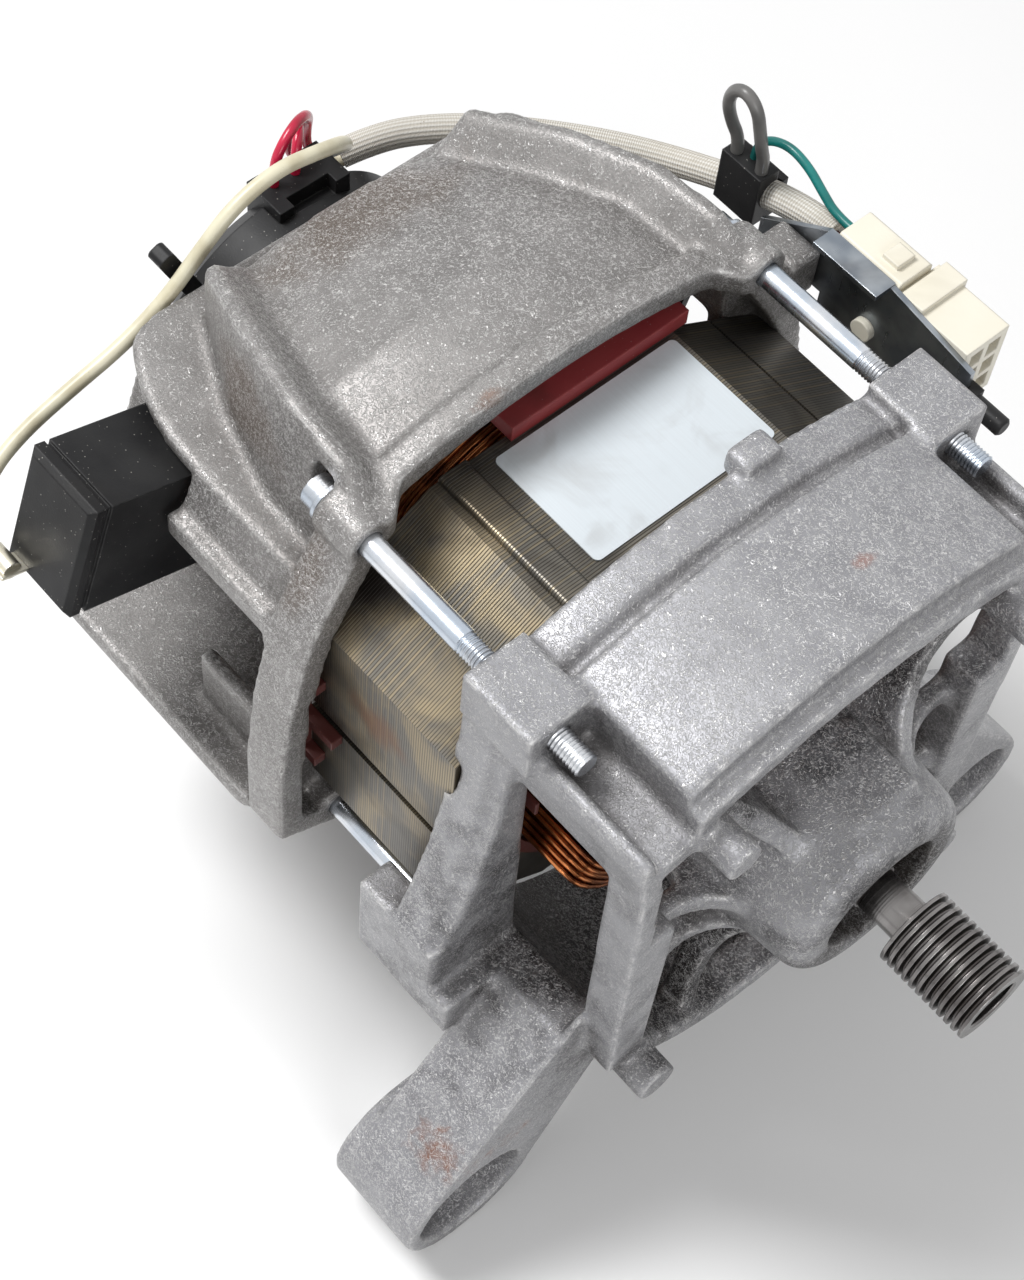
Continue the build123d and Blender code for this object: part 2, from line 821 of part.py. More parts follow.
back_wall_side = (
    (-0.86 * back_wall_reach, wing_level),
    (-0.86 * back_wall_reach, 0.6 * wing_level),
    (-back_wall_reach, 0.45 * wing_level),
    (-back_wall_reach, 0.7 * floor_level),
    (-0.86 * back_wall_reach, floor_level),
)
bar_high = bar_level + bar_thickness / 2
bar_low = bar_level - bar_thickness / 2
side_outline = (
    (wing_reach, wing_level),
    (bar_reach - side_wall, bar_high),
    (bar_reach, bar_high),
    (bar_reach, bar_low),
    (bar_reach - 1.5 * side_wall, bar_low),
    (wing_reach - side_wall, wing_level - wing_thickness),
    (wing_reach - side_wall, wing_level),
)
lobe_x = wing_rear_x + wing_lobe
lobe_corner = (wing_rear_x + 0.1 * wing_lobe, 0.85 * wing_reach)
lobe_end = (wing_rear_x + 0.1 * wing_lobe, 0.55 * wing_reach)
bracket_inner = bracket_plane - bracket_sheet
bracket_screw_x = (rim_rear_x + rear_face_x) / 2
bracket_screw_z = 0.8 * bracket_top
clip_y = stack_half_width + clip_thickness / 2 + seat_gap
coil_rear_x = stack_rear_x - coil_overhang
with BuildPart() as rear_shield:
    with BuildSketch(Plane.YZ.offset(rim_rear_x)):
        rear_face(0)
    extrude(amount=rear_rim_depth)
    with BuildSketch(Plane.YZ.offset(rim_rear_x)):
        with Locations(*bolt_places):
            Circle(rear_boss_radius)
    extrude(amount=rear_rim_depth)
    loft(hood_sections(0, wing_level - wing_thickness), ruled=True)
    # Wings at the hood's foot, each with a rounded lobe at its rear
    with BuildSketch(Plane.XY.offset(wing_level - wing_thickness)):
        with BuildLine():
            for side in (-1, 1):
                Line((rim_rear_x + overrun, side * wing_reach), (lobe_x, side * wing_reach))
                ThreePointArc(
                    (lobe_x, side * wing_reach),
                    (wing_rear_x + 0.5 * wing_lobe, side * 0.95 * wing_reach),
                    (lobe_corner[0], side * lobe_corner[1]),
                )
                ThreePointArc(
                    (lobe_corner[0], side * lobe_corner[1]),
                    (wing_rear_x, side * 0.7 * wing_reach),
                    (lobe_end[0], side * lobe_end[1]),
                )
            Line((lobe_end[0], -lobe_end[1]), lobe_end)
            Line((rim_rear_x + overrun, -wing_reach), (rim_rear_x + overrun, wing_reach))
        make_face()
    extrude(amount=wing_thickness)
    # Back wall, bearing hub and floor
    with BuildSketch(Plane.YZ.offset(wing_rear_x)):
        with BuildLine():
            Polyline(
                *mirrored(back_wall_side),
                close=True,
            )
        make_face()
    extrude(amount=back_wall)
    back_middle_x = back_wall_x - back_wall / 2
    ring(back_middle_x - rear_hub_depth / 2, back_middle_x + rear_hub_depth / 2, 0, rear_hub_radius)
    with BuildSketch(Plane.XY.offset(floor_level - floor_thickness)):
        with Locations(((wing_rear_x + rim_rear_x) / 2, 0)):
            RectangleRounded(rim_rear_x - wing_rear_x + 2 * overrun, 2 * floor_half_width, floor_thickness)
    extrude(amount=floor_thickness)
    # Hollow under the hood, then the side walls with the bar along each foot, and the webs on the floor
    loft(hood_sections(rear_wall, floor_level), ruled=True, mode=Mode.SUBTRACT)
    web_y = wing_reach + bar_thickness / 2
    for side in (-1, 1):
        with BuildSketch(Plane.YZ.offset(rim_rear_x - bar_run)):
            with BuildLine():
                Polyline(*[(side * y, z) for y, z in side_outline], close=True)
            make_face()
        extrude(amount=bar_run + overrun)
        with Locations(((rim_rear_x + rim_rear_x - web_run) / 2, side * web_y, floor_level + web_height / 4)):
            Box(web_run + overrun, side_wall, web_height)
        # A plate on the back wall for each brush box, square to its brush
        with BuildSketch(brush_plane(side).offset(box_root - seat_plate)):
            with Locations((-(brush_x - wing_rear_x) / 2 + box_width / 4 + overrun, 0)):
                Rectangle(brush_x - wing_rear_x + box_width / 2 + 2 * overrun, box_height)
        extrude(amount=seat_plate)
    # Pad on the rim's right side for the connector bracket
    pad_reach = bracket_inner - seat_gap - stack_half_width
    with Locations((bracket_screw_x, stack_half_width + pad_reach / 2, bracket_screw_z)):
        Box(rear_rim_depth, pad_reach, 7 * small_pin_radius)
    # Rear foot under the floor
    foot_x = wing_rear_x + foot_setback + foot_run / 2
    for side in (-1, 1):
        with Locations((foot_x, side * (foot_span - foot_web) / 2, -(foot_drop - floor_level) / 2)):
            Box(foot_run, foot_web, foot_drop + floor_level)
    with Locations((foot_x, 0, -foot_drop + foot_web / 2)):
        Box(foot_run, foot_span, foot_web)
    # Openings: the rim's mouth, the stack's pocket, the floor, the back wall and the bearing seat
    with BuildSketch(Plane.YZ.offset(rim_rear_x - overrun)):
        arch_face(rear_crown - rear_band, 0.8 * stack_half_width, 0.9 * -stack_half_height)
    extrude(amount=rear_rim_depth + 2 * overrun, mode=Mode.SUBTRACT)
    with BuildSketch(Plane.YZ.offset(stack_rear_x)):
        rear_face(-rear_band)
        with Locations(*bolt_places):
            Circle(rear_boss_radius, mode=Mode.SUBTRACT)
    extrude(amount=register_rear + overrun, mode=Mode.SUBTRACT)
    with BuildSketch(Plane.YZ.offset(stack_rear_x)):
        with BuildLine():
            Polyline(*stack_outline, close=True)
        make_face()
        offset(amount=seat_gap, kind=Kind.INTERSECTION, mode=Mode.REPLACE)
    extrude(amount=register_rear + overrun, mode=Mode.SUBTRACT)
    # The rim stands back at the top, between the bosses, and shows the slab behind the stack
    with BuildSketch(Plane.XY.offset(stack_half_height)):
        with BuildLine():
            Polyline(
                (rear_face_x + overrun, 1.15 * hood_half_width),
                (rim_lip_x, hood_half_width),
                (rim_lip_x, -hood_half_width),
                (rear_face_x + overrun, -1.15 * hood_half_width),
                close=True,
            )
        make_face()
    extrude(amount=rear_crown - stack_half_height + overrun, mode=Mode.SUBTRACT)
    with Locations((foot_x, 0, floor_level)):
        Box(0.75 * foot_run, 0.5 * foot_span, 4 * floor_thickness, mode=Mode.SUBTRACT)
    with BuildSketch(Plane.YZ.offset(wing_rear_x - overrun)):
        with PolarLocations(1.4 * rear_hub_radius, 4, start_angle=45):
            Circle(0.3 * rear_hub_radius)
    extrude(amount=back_wall + 2 * overrun, mode=Mode.SUBTRACT)
    with BuildSketch(Plane.YZ.offset(rear_bearing_rear_x)):
        Circle(rear_bearing_radius + seat_gap)
    extrude(amount=rear_hub_depth, mode=Mode.SUBTRACT)
    with BuildSketch(Plane.YZ.offset(rear_bearing_rear_x - rear_hub_depth)):
        Circle(0.7 * rear_bearing_radius)
    extrude(amount=2 * rear_hub_depth, mode=Mode.SUBTRACT)
    with BuildSketch(Plane.YZ.offset(rim_rear_x - overrun)):
        with Locations(*bolt_places):
            Circle(bolt_radius + seat_gap)
    extrude(amount=rear_rim_depth + 2 * overrun, mode=Mode.SUBTRACT)
    with BuildSketch(Plane.XZ.offset(-bracket_plane)):
        with Locations((bracket_screw_x, bracket_screw_z)):
            Circle(small_pin_radius + seat_gap)
    extrude(amount=bracket_lug + bracket_sheet, mode=Mode.SUBTRACT)
    # Room for the windings, the bolt heads, the side clips and the brush boxes
    with BuildSketch(Plane.YZ.offset(coil_rear_x - 2 * overrun)):
        Circle(slot_outer_radius + frame_band + overrun)
    extrude(amount=stack_rear_x - coil_rear_x + 3 * overrun, mode=Mode.SUBTRACT)
    with BuildSketch(Plane.YZ.offset(rim_rear_x - 2 * bolt_head_height)):
        with Locations(*bolt_places):
            Circle(bolt_flange_radius + overrun)
    extrude(amount=2 * bolt_head_height, mode=Mode.SUBTRACT)
    for side in (-1, 1):
        with Locations((bracket_screw_x, side * clip_y, clip_z)):
            Box(
                rear_rim_depth + 2 * overrun,
                3 * clip_thickness,
                clip_height + 2 * overrun,
                mode=Mode.SUBTRACT,
            )
        with BuildSketch(brush_plane(side).offset(box_root - seat_plate - overrun)):
            guide_room = 2 * guide_wall + 2 * seat_gap
            Rectangle(brush_depth + guide_room, brush_width + guide_room)
        extrude(amount=seat_plate + 2 * overrun, mode=Mode.SUBTRACT)
        with BuildSketch(brush_plane(side).offset(box_root)):
            Rectangle(box_width + 2 * overrun, box_height + 2 * overrun)
        extrude(amount=box_reach - box_root, mode=Mode.SUBTRACT)
write(rear_shield, "rear_shield")


# Shaft, from the tacho magnet's end to the recess in the pulley
pulley_front_x = pulley_half
shaft_front_x = pulley_front_x - shaft_recess
flare_front_x = hub_x - flare_back
flare_rear_x = front_bearing_rear_x + front_bearing_width
cap_rear_x = wing_rear_x - cap_depth
shaft_rear_x = cap_rear_x + cap_wall + overrun
with BuildPart() as shaft:
    with BuildSketch(Plane.XY):
        with BuildLine():
            Polyline(
                (shaft_rear_x, 0),
                (shaft_rear_x, rear_journal_radius),
                (rear_bearing_rear_x + rear_bearing_width, rear_journal_radius),
                (rear_bearing_rear_x + rear_bearing_width, rotor_seat_radius),
                (front_bearing_rear_x, rotor_seat_radius),
                (front_bearing_rear_x, front_journal_radius),
                (flare_rear_x, front_journal_radius),
                (flare_rear_x, shaft_radius),
                (shaft_front_x, shaft_radius),
                (shaft_front_x, 0),
                close=True,
            )
        make_face()
    revolve(axis=Axis.X)
    chamfer(shaft.faces().sort_by(Axis.X)[-1].edges(), seal_thickness / 2)
write(shaft, "shaft")


# Flared collar between the front bearing and the pulley's neck
with BuildPart() as shaft_collar:
    with BuildSketch(Plane.XY):
        with BuildLine():
            Polyline(
                (flare_rear_x, shaft_radius + seat_gap),
                (flare_rear_x, front_journal_radius + overrun),
                (flare_rear_x + overrun, flare_radius),
                (flare_front_x - flare_length, flare_radius),
            )
            Spline(
                (flare_front_x - flare_length, flare_radius),
                (flare_front_x - flare_length / 2, (flare_radius + shaft_radius) / 2),
                (flare_front_x, shaft_radius + 2 * seal_thickness / 3),
            )
            Polyline(
                (flare_front_x, shaft_radius + 2 * seal_thickness / 3),
                (flare_front_x, shaft_radius + seat_gap),
                (flare_rear_x, shaft_radius + seat_gap),
            )
        make_face()
    revolve(axis=Axis.X)
write(shaft_collar, "shaft_collar")


# Drive pulley: ribbed steel drum pressed on the shaft, with a mouth in its end
rib_points = []
for rib in range(rib_count):
    rib_x = -pulley_half + rib * rib_pitch
    tip = rib_tip_share * rib_pitch
    rib_points.append((rib_x - tip, pulley_radius))
    rib_points.append((rib_x + tip, pulley_radius))
    if rib < rib_count - 1:
        rib_points.append((rib_x + rib_pitch / 2 - tip / 2, pulley_radius - rib_depth))
        rib_points.append((rib_x + rib_pitch / 2 + tip / 2, pulley_radius - rib_depth))
pulley_bore = shaft_radius + seat_gap
pulley_face_x = rib_points[-1][0]
with BuildPart() as drive_pulley:
    with BuildSketch(Plane.XY):
        with BuildLine():
            Polyline(
                (rib_points[0][0], pulley_bore),
                *rib_points,
                (pulley_face_x, pulley_mouth_radius + seal_thickness / 2),
                (pulley_face_x - seal_thickness / 2, pulley_mouth_radius),
                (pulley_face_x - pulley_mouth_depth, pulley_mouth_radius),
                (pulley_face_x - pulley_mouth_depth, pulley_bore),
                close=True,
            )
        make_face()
    revolve(axis=Axis.X)
write(drive_pulley, "drive_pulley")


def bearing(place, x_rear, bore, outer, width):
    """Writes a deep-groove ball bearing's rings, balls and seals, with its rear face at x_rear."""
    wall = ring_wall_share * (outer - bore)
    pitch = (outer + bore) / 2
    middle = x_rear + width / 2
    groove = ball_radius + curve_gap / 2
    sizes = (("outer_ring", outer - wall, outer), ("inner_ring", bore + seat_gap, bore + wall))
    for name, low, high in sizes:
        with BuildPart() as race:
            ring(x_rear, x_rear + width, low, high)
            with BuildSketch(Plane.XY) as track:
                with Locations((middle, pitch)):
                    Circle(groove)
            revolve(track.sketch, axis=Axis.X, mode=Mode.SUBTRACT)
        write(race, f"{place}_bearing_{name}")
    with BuildPart() as balls:
        for turn in range(ball_count):
            a = radians(360 * turn / ball_count)
            with Locations((middle, pitch * cos(a), pitch * sin(a))):
                Sphere(ball_radius)
    write(balls, f"{place}_bearing_balls")
    with BuildPart() as seals:
        for start in (x_rear, x_rear + width - seal_thickness):
            ring(start, start + seal_thickness, bore + wall + curve_gap, outer - wall - seat_gap)
    write(seals, f"{place}_bearing_seals")


bearing("front", front_bearing_rear_x, front_journal_radius, front_bearing_radius, front_bearing_width)
bearing("rear", rear_bearing_rear_x, rear_journal_radius, rear_bearing_radius, rear_bearing_width)


# Wave washer that loads the rear bearing
with BuildPart() as wave_washer:
    washer_x = rear_bearing_rear_x + rear_bearing_width
    ring(washer_x, washer_x + washer_thickness, 0.8 * rear_bearing_radius, rear_bearing_radius - seat_gap)
write(wave_washer, "wave_washer")


# Rotor core: lamination pack with its slots
with BuildPart() as rotor_core:
    ring(stack_rear_x, stack_front_x, rotor_seat_radius + seat_gap, rotor_radius)
    with BuildSketch(Plane.YZ.offset(stack_rear_x)):
        with PolarLocations(rotor_radius - rotor_slot_depth / 2, rotor_slots):
            Rectangle(rotor_slot_depth + overrun, rotor_slot_width)
    extrude(amount=stack_length, mode=Mode.SUBTRACT)
write(rotor_core, "rotor_core")


# Armature windings: the copper heads either side of the rotor core
for place, root_x, way in (("front", stack_front_x, 1), ("rear", stack_rear_x, -1)):
    with BuildPart() as head:
        with BuildSketch(Plane.XY):
            with BuildLine():
                Polyline(
                    (root_x, armature_hub_radius),
                    (root_x, armature_radius),
                    (root_x + way * 0.5 * armature_overhang, armature_radius),
                )
                Spline(
                    (root_x + way * 0.5 * armature_overhang, armature_radius),
                    (root_x + way * 0.88 * armature_overhang, 0.88 * armature_radius),
                    (root_x + way * armature_overhang, 0.66 * armature_radius),
                )
                Polyline(
                    (root_x + way * armature_overhang, 0.66 * armature_radius),
                    (root_x + way * armature_overhang, armature_hub_radius),
                    (root_x, armature_hub_radius),
                )
            make_face()
        revolve(axis=Axis.X)
    write(head, f"armature_winding_{place}")


# Insulating sleeve on the shaft under both copper heads
with BuildPart() as armature_insulator:
    ring(stack_front_x, stack_front_x + armature_overhang, rotor_seat_radius + seat_gap, armature_hub_radius)
write(armature_insulator, "armature_insulator_front")
with BuildPart() as armature_insulator_rear:
    ring(stack_rear_x - armature_overhang, stack_rear_x, rotor_seat_radius + seat_gap, armature_hub_radius)
write(armature_insulator_rear, "armature_insulator_rear")


# Commutator: a moulded hub and a copper drum cut into bars
commutator_rear_x = brush_x - commutator_length / 2
commutator_core = 0.6 * commutator_radius
riser_radius = 1.12 * commutator_radius
with BuildPart() as commutator_hub:
    hub_end_x = brush_x + commutator_length
    ring(commutator_rear_x - overrun, hub_end_x, rotor_seat_radius + seat_gap, commutator_core)
write(commutator_hub, "commutator_hub")
with BuildPart() as commutator:
    riser_x = commutator_rear_x + commutator_length
    ring(commutator_rear_x, riser_x, commutator_core, commutator_radius)
    ring(riser_x, brush_x + 0.7 * commutator_length, commutator_core, riser_radius)
    with BuildSketch(Plane.YZ.offset(commutator_rear_x - overrun)):
        with PolarLocations(riser_radius, bar_count):
            Rectangle(2 * (bar_gap_depth + riser_radius - commutator_radius), bar_gap)
    extrude(amount=1.4 * commutator_length, mode=Mode.SUBTRACT)
write(commutator, "commutator")


def biarc(start, start_way, end, end_way):
    """Adds the two arcs that join two points smoothly, given the directions at both."""
    p0, t0, p1, t1 = Vector(start), Vector(start_way).normalized(), Vector(end), Vector(end_way).normalized()
    v = p1 - p0
    along = v.dot(t0 + t1)
    spread = 2 * (1 - t0.dot(t1))
    if spread < 1e-9:
        if abs(v.normalized().dot(t0)) > 1 - 1e-12:
            Line(p0, p1)
            return
        reach = v.dot(v) / (4 * v.dot(t1))
    else:
        reach = (-along + sqrt(along**2 + spread * v.dot(v))) / spread
    middle = (p0 + p1 + (t0 - t1) * reach) * 0.5
    if (middle - p0).get_angle(t0) < 1e-4:
        Line(p0, middle)
    else:
        TangentArc(p0, middle, tangent=t0)
    tangent_mid = (p1 - t1 * reach) - (p0 + t0 * reach)
    if (p1 - middle).get_angle(tangent_mid) < 1e-4:
        Line(middle, p1)
    else:
        TangentArc(middle, p1, tangent=tangent_mid)


def least_gap(path, radius, skip):
    """The least gap of a tube to itself, from points along its centre at least skip apart."""
    step = 2 * radius
    count = int(path.length / step)
    points = [path @ (i / count) for i in range(count + 1)]
    apart = int(skip / step)
    nearest = min(
        (points[i] - points[j]).length
        for i in range(0, count - apart, 2)
        for j in range(i + apart, count + 1)
    )
    return nearest - 2 * radius


# Field coils: a plain wound core on each pole, and over it the outer layer of wire in one unbroken tube
coil_inner = shoe_radius + coil_inner_gap
coil_outer = slot_outer_radius - coil_outer_gap
coil_corner = wire_step * 4
drum = coil_outer + wire_lift + wire_radius
coil_half_run = stack_length / 2 + coil_overhang
for place, pole in (("upper", 90), ("lower", -90)):
    with BuildPart() as coil:
        with BuildSketch(Plane.YZ.offset(stack_mid_x - coil_half_run)) as whole:
            sector_face(coil_inner, coil_outer, pole, coil_half_angle)
        extrude(whole.sketch, amount=2 * coil_half_run)
        corner_edges = coil.edges().filter_by(GeomType.LINE).filter_by(Axis.X, reverse=True)
        fillet(corner_edges, coil_corner)
        with BuildSketch(Plane.YZ.offset(stack_rear_x - overrun)) as inside:
            sector_face(coil_inner - overrun, coil_outer + overrun, pole, pole_half_angle + 2 * overrun)
        extrude(inside.sketch, amount=stack_length + 2 * overrun, mode=Mode.SUBTRACT)
    write(coil, f"{place}_field_coil")

    def on_drum(width, run):
        """The point at an arc length and a run from the coil's middle."""
        a = radians(pole) + width / drum
        return (stack_mid_x + run, drum * cos(a), drum * sin(a))

    def round_way(width, sign):
        """The direction round the drum at an arc length."""
        a = radians(pole) + width / drum
        return (0, -sign * sin(a), sign * cos(a))

    half_width = radians(coil_half_angle) * drum - 2 * wire_radius
    half_run = coil_half_run - 2 * wire_radius
    stops = []
    for turn in range(wire_turns):
        for quarter, (sw, sh) in enumerate(((-1, -1), (-1, 1), (1, 1), (1, -1))):
            inset = wire_step * (turn + quarter / 4)
            w, h = half_width - inset, half_run - inset
            c = coil_corner
            first = (on_drum(sw * (w - c), sh * h), on_drum(sw * w, sh * (h - c)))
            if quarter in (0, 2):
                stops.append((first[0], round_way(sw * (w - c), sw)))
                stops.append((first[1], (-sh, 0, 0)))
            else:
                stops.append((first[1], (sh, 0, 0)))
                stops.append((first[0], round_way(sw * (w - c), -sw)))
    with BuildPart() as wire:
        with BuildLine() as route:
            for (p0, t0), (p1, t1) in zip(stops, stops[1:]):
                biarc(p0, t0, p1, t1)
        wire_path = route.wires()[0]
        with BuildSketch(Plane(origin=wire_path @ 0, z_dir=wire_path % 0)):
            Circle(wire_radius)
        sweep(path=wire_path)
    wire_gap = least_gap(wire_path, wire_radius, 40 * wire_radius)
    print(place, "field wire", len(route.edges()), "arcs, least gap", round(wire_gap, 2))
    print("volume", round(wire.part.volume, 1), "of", round(wire_path.length * pi * wire_radius**2, 1))
    write(wire, f"{place}_field_wire")


# Winding frames: the moulded insulators at either end of the stack, with tongues, a slab and side clips
frame_inner = slot_outer_radius + 2 * curve_gap
frame_outer = frame_inner + frame_band
with BuildPart() as front_frame:
    ring(stack_front_x, stack_front_x + frame_plate, frame_inner, frame_outer)
    for side in (-1, 1):
        with Locations((stack_front_x + tongue_run / 2, side * (frame_outer - frame_plate / 2), tongue_rise)):
            Box(tongue_run, frame_plate / 2, tongue_height)
write(front_frame, "winding_frame_front")

with BuildPart() as rear_frame:
    ring(stack_rear_x - frame_plate, stack_rear_x, frame_inner, frame_outer)
    with Locations((stack_rear_x + slab_lap - slab_depth / 2, slab_y, stack_half_height + slab_rise / 2)):
        Box(slab_depth, slab_span, slab_rise)
    slab_foot = stack_half_height - frame_inner
    with Locations((stack_rear_x - frame_plate / 2, slab_y, stack_half_height - slab_foot / 2)):
        Box(frame_plate, 0.4 * slab_span, slab_foot)
write(rear_frame, "winding_frame_rear")

with BuildPart() as side_clips:
    for side in (-1, 1):
        with Locations((stack_rear_x - clip_spine / 2, side * clip_y, clip_z)):
            Box(clip_spine, clip_thickness, clip_height)
        for rise_share, reach_share in ((0.5, 0.45), (0.0, 1.0), (-0.5, 0.45)):
            prong_z = clip_z + rise_share * (clip_height - clip_thickness)
            prong_reach = reach_share * clip_reach
            with Locations((stack_rear_x + prong_reach / 2, side * clip_y, prong_z)):
                Box(prong_reach, clip_thickness, clip_thickness)
write(side_clips, "winding_frame_clips")


# Brush gear, the same on both sides but turned half round the shaft
brush_root = commutator_radius + curve_gap
brush_end = brush_root + brush_length
spring_end = brush_end + spring_length
guide_root = 1.14 * commutator_radius
blade_y = -0.42 * box_height
quarter_climb = (spring_length - 2 * spring_wire - 2 * curve_gap) / (4 * spring_turns)


def spring_stop(across, quarter):
    """Where the brush spring is after so many quarter turns, and the way it heads there."""
    a = radians(90 * quarter)
    rise = brush_end + curve_gap + spring_wire + quarter_climb * quarter
    point = Vector(spring_radius * cos(a), spring_radius * sin(a), rise)
    way = Vector(-spring_radius * radians(90) * sin(a), spring_radius * radians(90) * cos(a), quarter_climb)
    place = across.from_local_coords(point)
    return place, across.from_local_coords(point + way) - place


for place, side in (("left", -1), ("right", 1)):
    across = brush_plane(side)
    with BuildPart() as holder:
        with BuildSketch(across.offset(guide_root)):
            Rectangle(brush_depth + 2 * guide_wall, brush_width + 2 * guide_wall)
        extrude(amount=box_root - guide_root)
        with BuildSketch(across.offset(box_root)):
            Rectangle(box_width, box_height)
        extrude(amount=box_reach - box_root)
        outer_end = holder.faces().filter_by(across).sort_by(lambda f: f.center().dot(across.z_dir))[-1]
        chamfer(outer_end.edges(), box_lip)
        with BuildSketch(across.offset(box_root)):
            with Locations((0, -(box_height + box_step) / 2)):
                Rectangle(0.7 * box_width, box_step)
        extrude(amount=0.35 * (box_reach - box_root))
        # Shallow groove round the outer end
        with BuildSketch(across.offset(box_reach - 0.16 * box_height)):
            Rectangle(box_width + overrun, box_height + overrun)
            Rectangle(box_width - box_lip, box_height - box_lip, mode=Mode.SUBTRACT)
        extrude(amount=box_lip, mode=Mode.SUBTRACT)
        with BuildSketch(across.offset(guide_root - overrun)):
            Rectangle(brush_depth + 2 * run_gap, brush_width + 2 * run_gap)
        extrude(amount=spring_end + seat_gap - guide_root + overrun, mode=Mode.SUBTRACT)
    write(holder, f"{place}_brush_holder")
    with BuildPart() as brush:
        with BuildSketch(across.offset(brush_root - brush_width / 2)):
            Rectangle(brush_depth, brush_width)
        extrude(amount=brush_length + brush_width / 2)
        with BuildSketch(Plane.YZ.offset(brush_x - brush_depth)):
            Circle(brush_root)
        extrude(amount=2 * brush_depth, mode=Mode.SUBTRACT)
    write(brush, f"{place}_carbon_brush")
    stops = [spring_stop(across, quarter) for quarter in range(4 * spring_turns + 1)]
    with BuildPart() as spring:
        with BuildLine() as coil_line:
            for (p0, t0), (p1, t1) in zip(stops, stops[1:]):
                biarc(p0, t0, p1, t1)
        spring_path = coil_line.wires()[0]
        with BuildSketch(Plane(origin=spring_path @ 0, z_dir=spring_path % 0)):
            Circle(spring_wire)
        sweep(path=spring_path)
    write(spring, f"{place}_brush_spring")
    crimp = across.from_local_coords(Vector(0, blade_y, box_reach + terminal_length / 2))
    if side < 0:
        left_crimp = Vector(brush_x - box_width / 2 - seat_gap, crimp.Y, crimp.Z)
    with BuildPart() as terminal:
        with BuildSketch(across.offset(box_reach)):
            with Locations((-terminal_width, blade_y)):
                Rectangle(terminal_width, terminal_thickness)
        extrude(amount=terminal_length)
        with BuildSketch(Plane.YZ.offset(brush_x - box_width / 2)):
            with Locations((crimp.Y, crimp.Z)):
                Circle(terminal_length / 3)
        extrude(amount=terminal_length)
    write(terminal, f"{place}_brush_terminal")


# Tacho: magnet on the shaft's end, its coil, the black cap round both and the connector in the cap's rim
magnet_x = cap_rear_x + cap_wall + 2 * overrun
block_rear_x = cap_rear_x - 2 * overrun
block_x = block_rear_x + tacho_block_depth / 2
block_foot_z = tacho_coil_radius + overrun
apron_depth = cap_wall + 1.5 * overrun


def tacho_block(grow):
    """The tacho connector's body and the thin apron below it, grown all round by grow."""
    low, high = block_foot_z - grow, tacho_block_high + grow
    width = tacho_block_width + 2 * grow
    with BuildPart() as block:
        with Locations((block_x, tacho_block_y, (low + high) / 2)):
            Box(tacho_block_depth + 2 * grow, width, high - low)
        apron_low = tacho_block_low - grow
        apron_high = block_foot_z + overrun
        with Locations((block_rear_x + apron_depth / 2, tacho_block_y, (apron_low + apron_high) / 2)):
            Box(apron_depth + 2 * grow, width, apron_high - apron_low)
    return block.part


with BuildPart() as tacho_magnet:
    ring(magnet_x, magnet_x + magnet_depth, rear_journal_radius + seat_gap, magnet_radius)
write(tacho_magnet, "tacho_magnet")
with BuildPart() as tacho_coil:
    ring(cap_rear_x + cap_wall, magnet_x + magnet_depth, magnet_radius + overrun, tacho_coil_radius)
write(tacho_coil, "tacho_coil")
with BuildPart() as tacho_cap:
    ring(cap_rear_x, wing_rear_x, 0, cap_radius)
    chamfer(tacho_cap.faces().sort_by(Axis.X)[0].edges(), 2 * cap_wall)
    with BuildSketch(Plane.YZ.offset(cap_rear_x + cap_wall)):
        Circle(cap_radius - 2 * cap_wall)
    extrude(amount=cap_depth, mode=Mode.SUBTRACT)
    # The small arm that stands up beside the hood
    with BuildSketch(Plane.YZ.offset(wing_rear_x - 0.6 * cap_depth)):
        with Locations(Location((-0.83 * cap_radius, 0.95 * cap_radius, 0), (0, 0, cap_arm_lean))):
            RectangleRounded(cap_arm_width, 0.8 * cap_radius, cap_arm_width / 3)
    extrude(amount=cap_arm_width)
    add(tacho_block(seat_gap), mode=Mode.SUBTRACT)
write(tacho_cap, "tacho_cap")
with BuildPart() as tacho_connector:
    add(tacho_block(0))
    with BuildSketch(Plane.XY.offset(tacho_block_high - 2 * cap_wall)):
        with Locations((block_x + tacho_block_depth / 2, tacho_block_y)):
            Rectangle(tacho_block_depth / 2, 0.6 * tacho_block_width)
    extrude(amount=2 * cap_wall + overrun, mode=Mode.SUBTRACT)
write(tacho_connector, "tacho_connector")


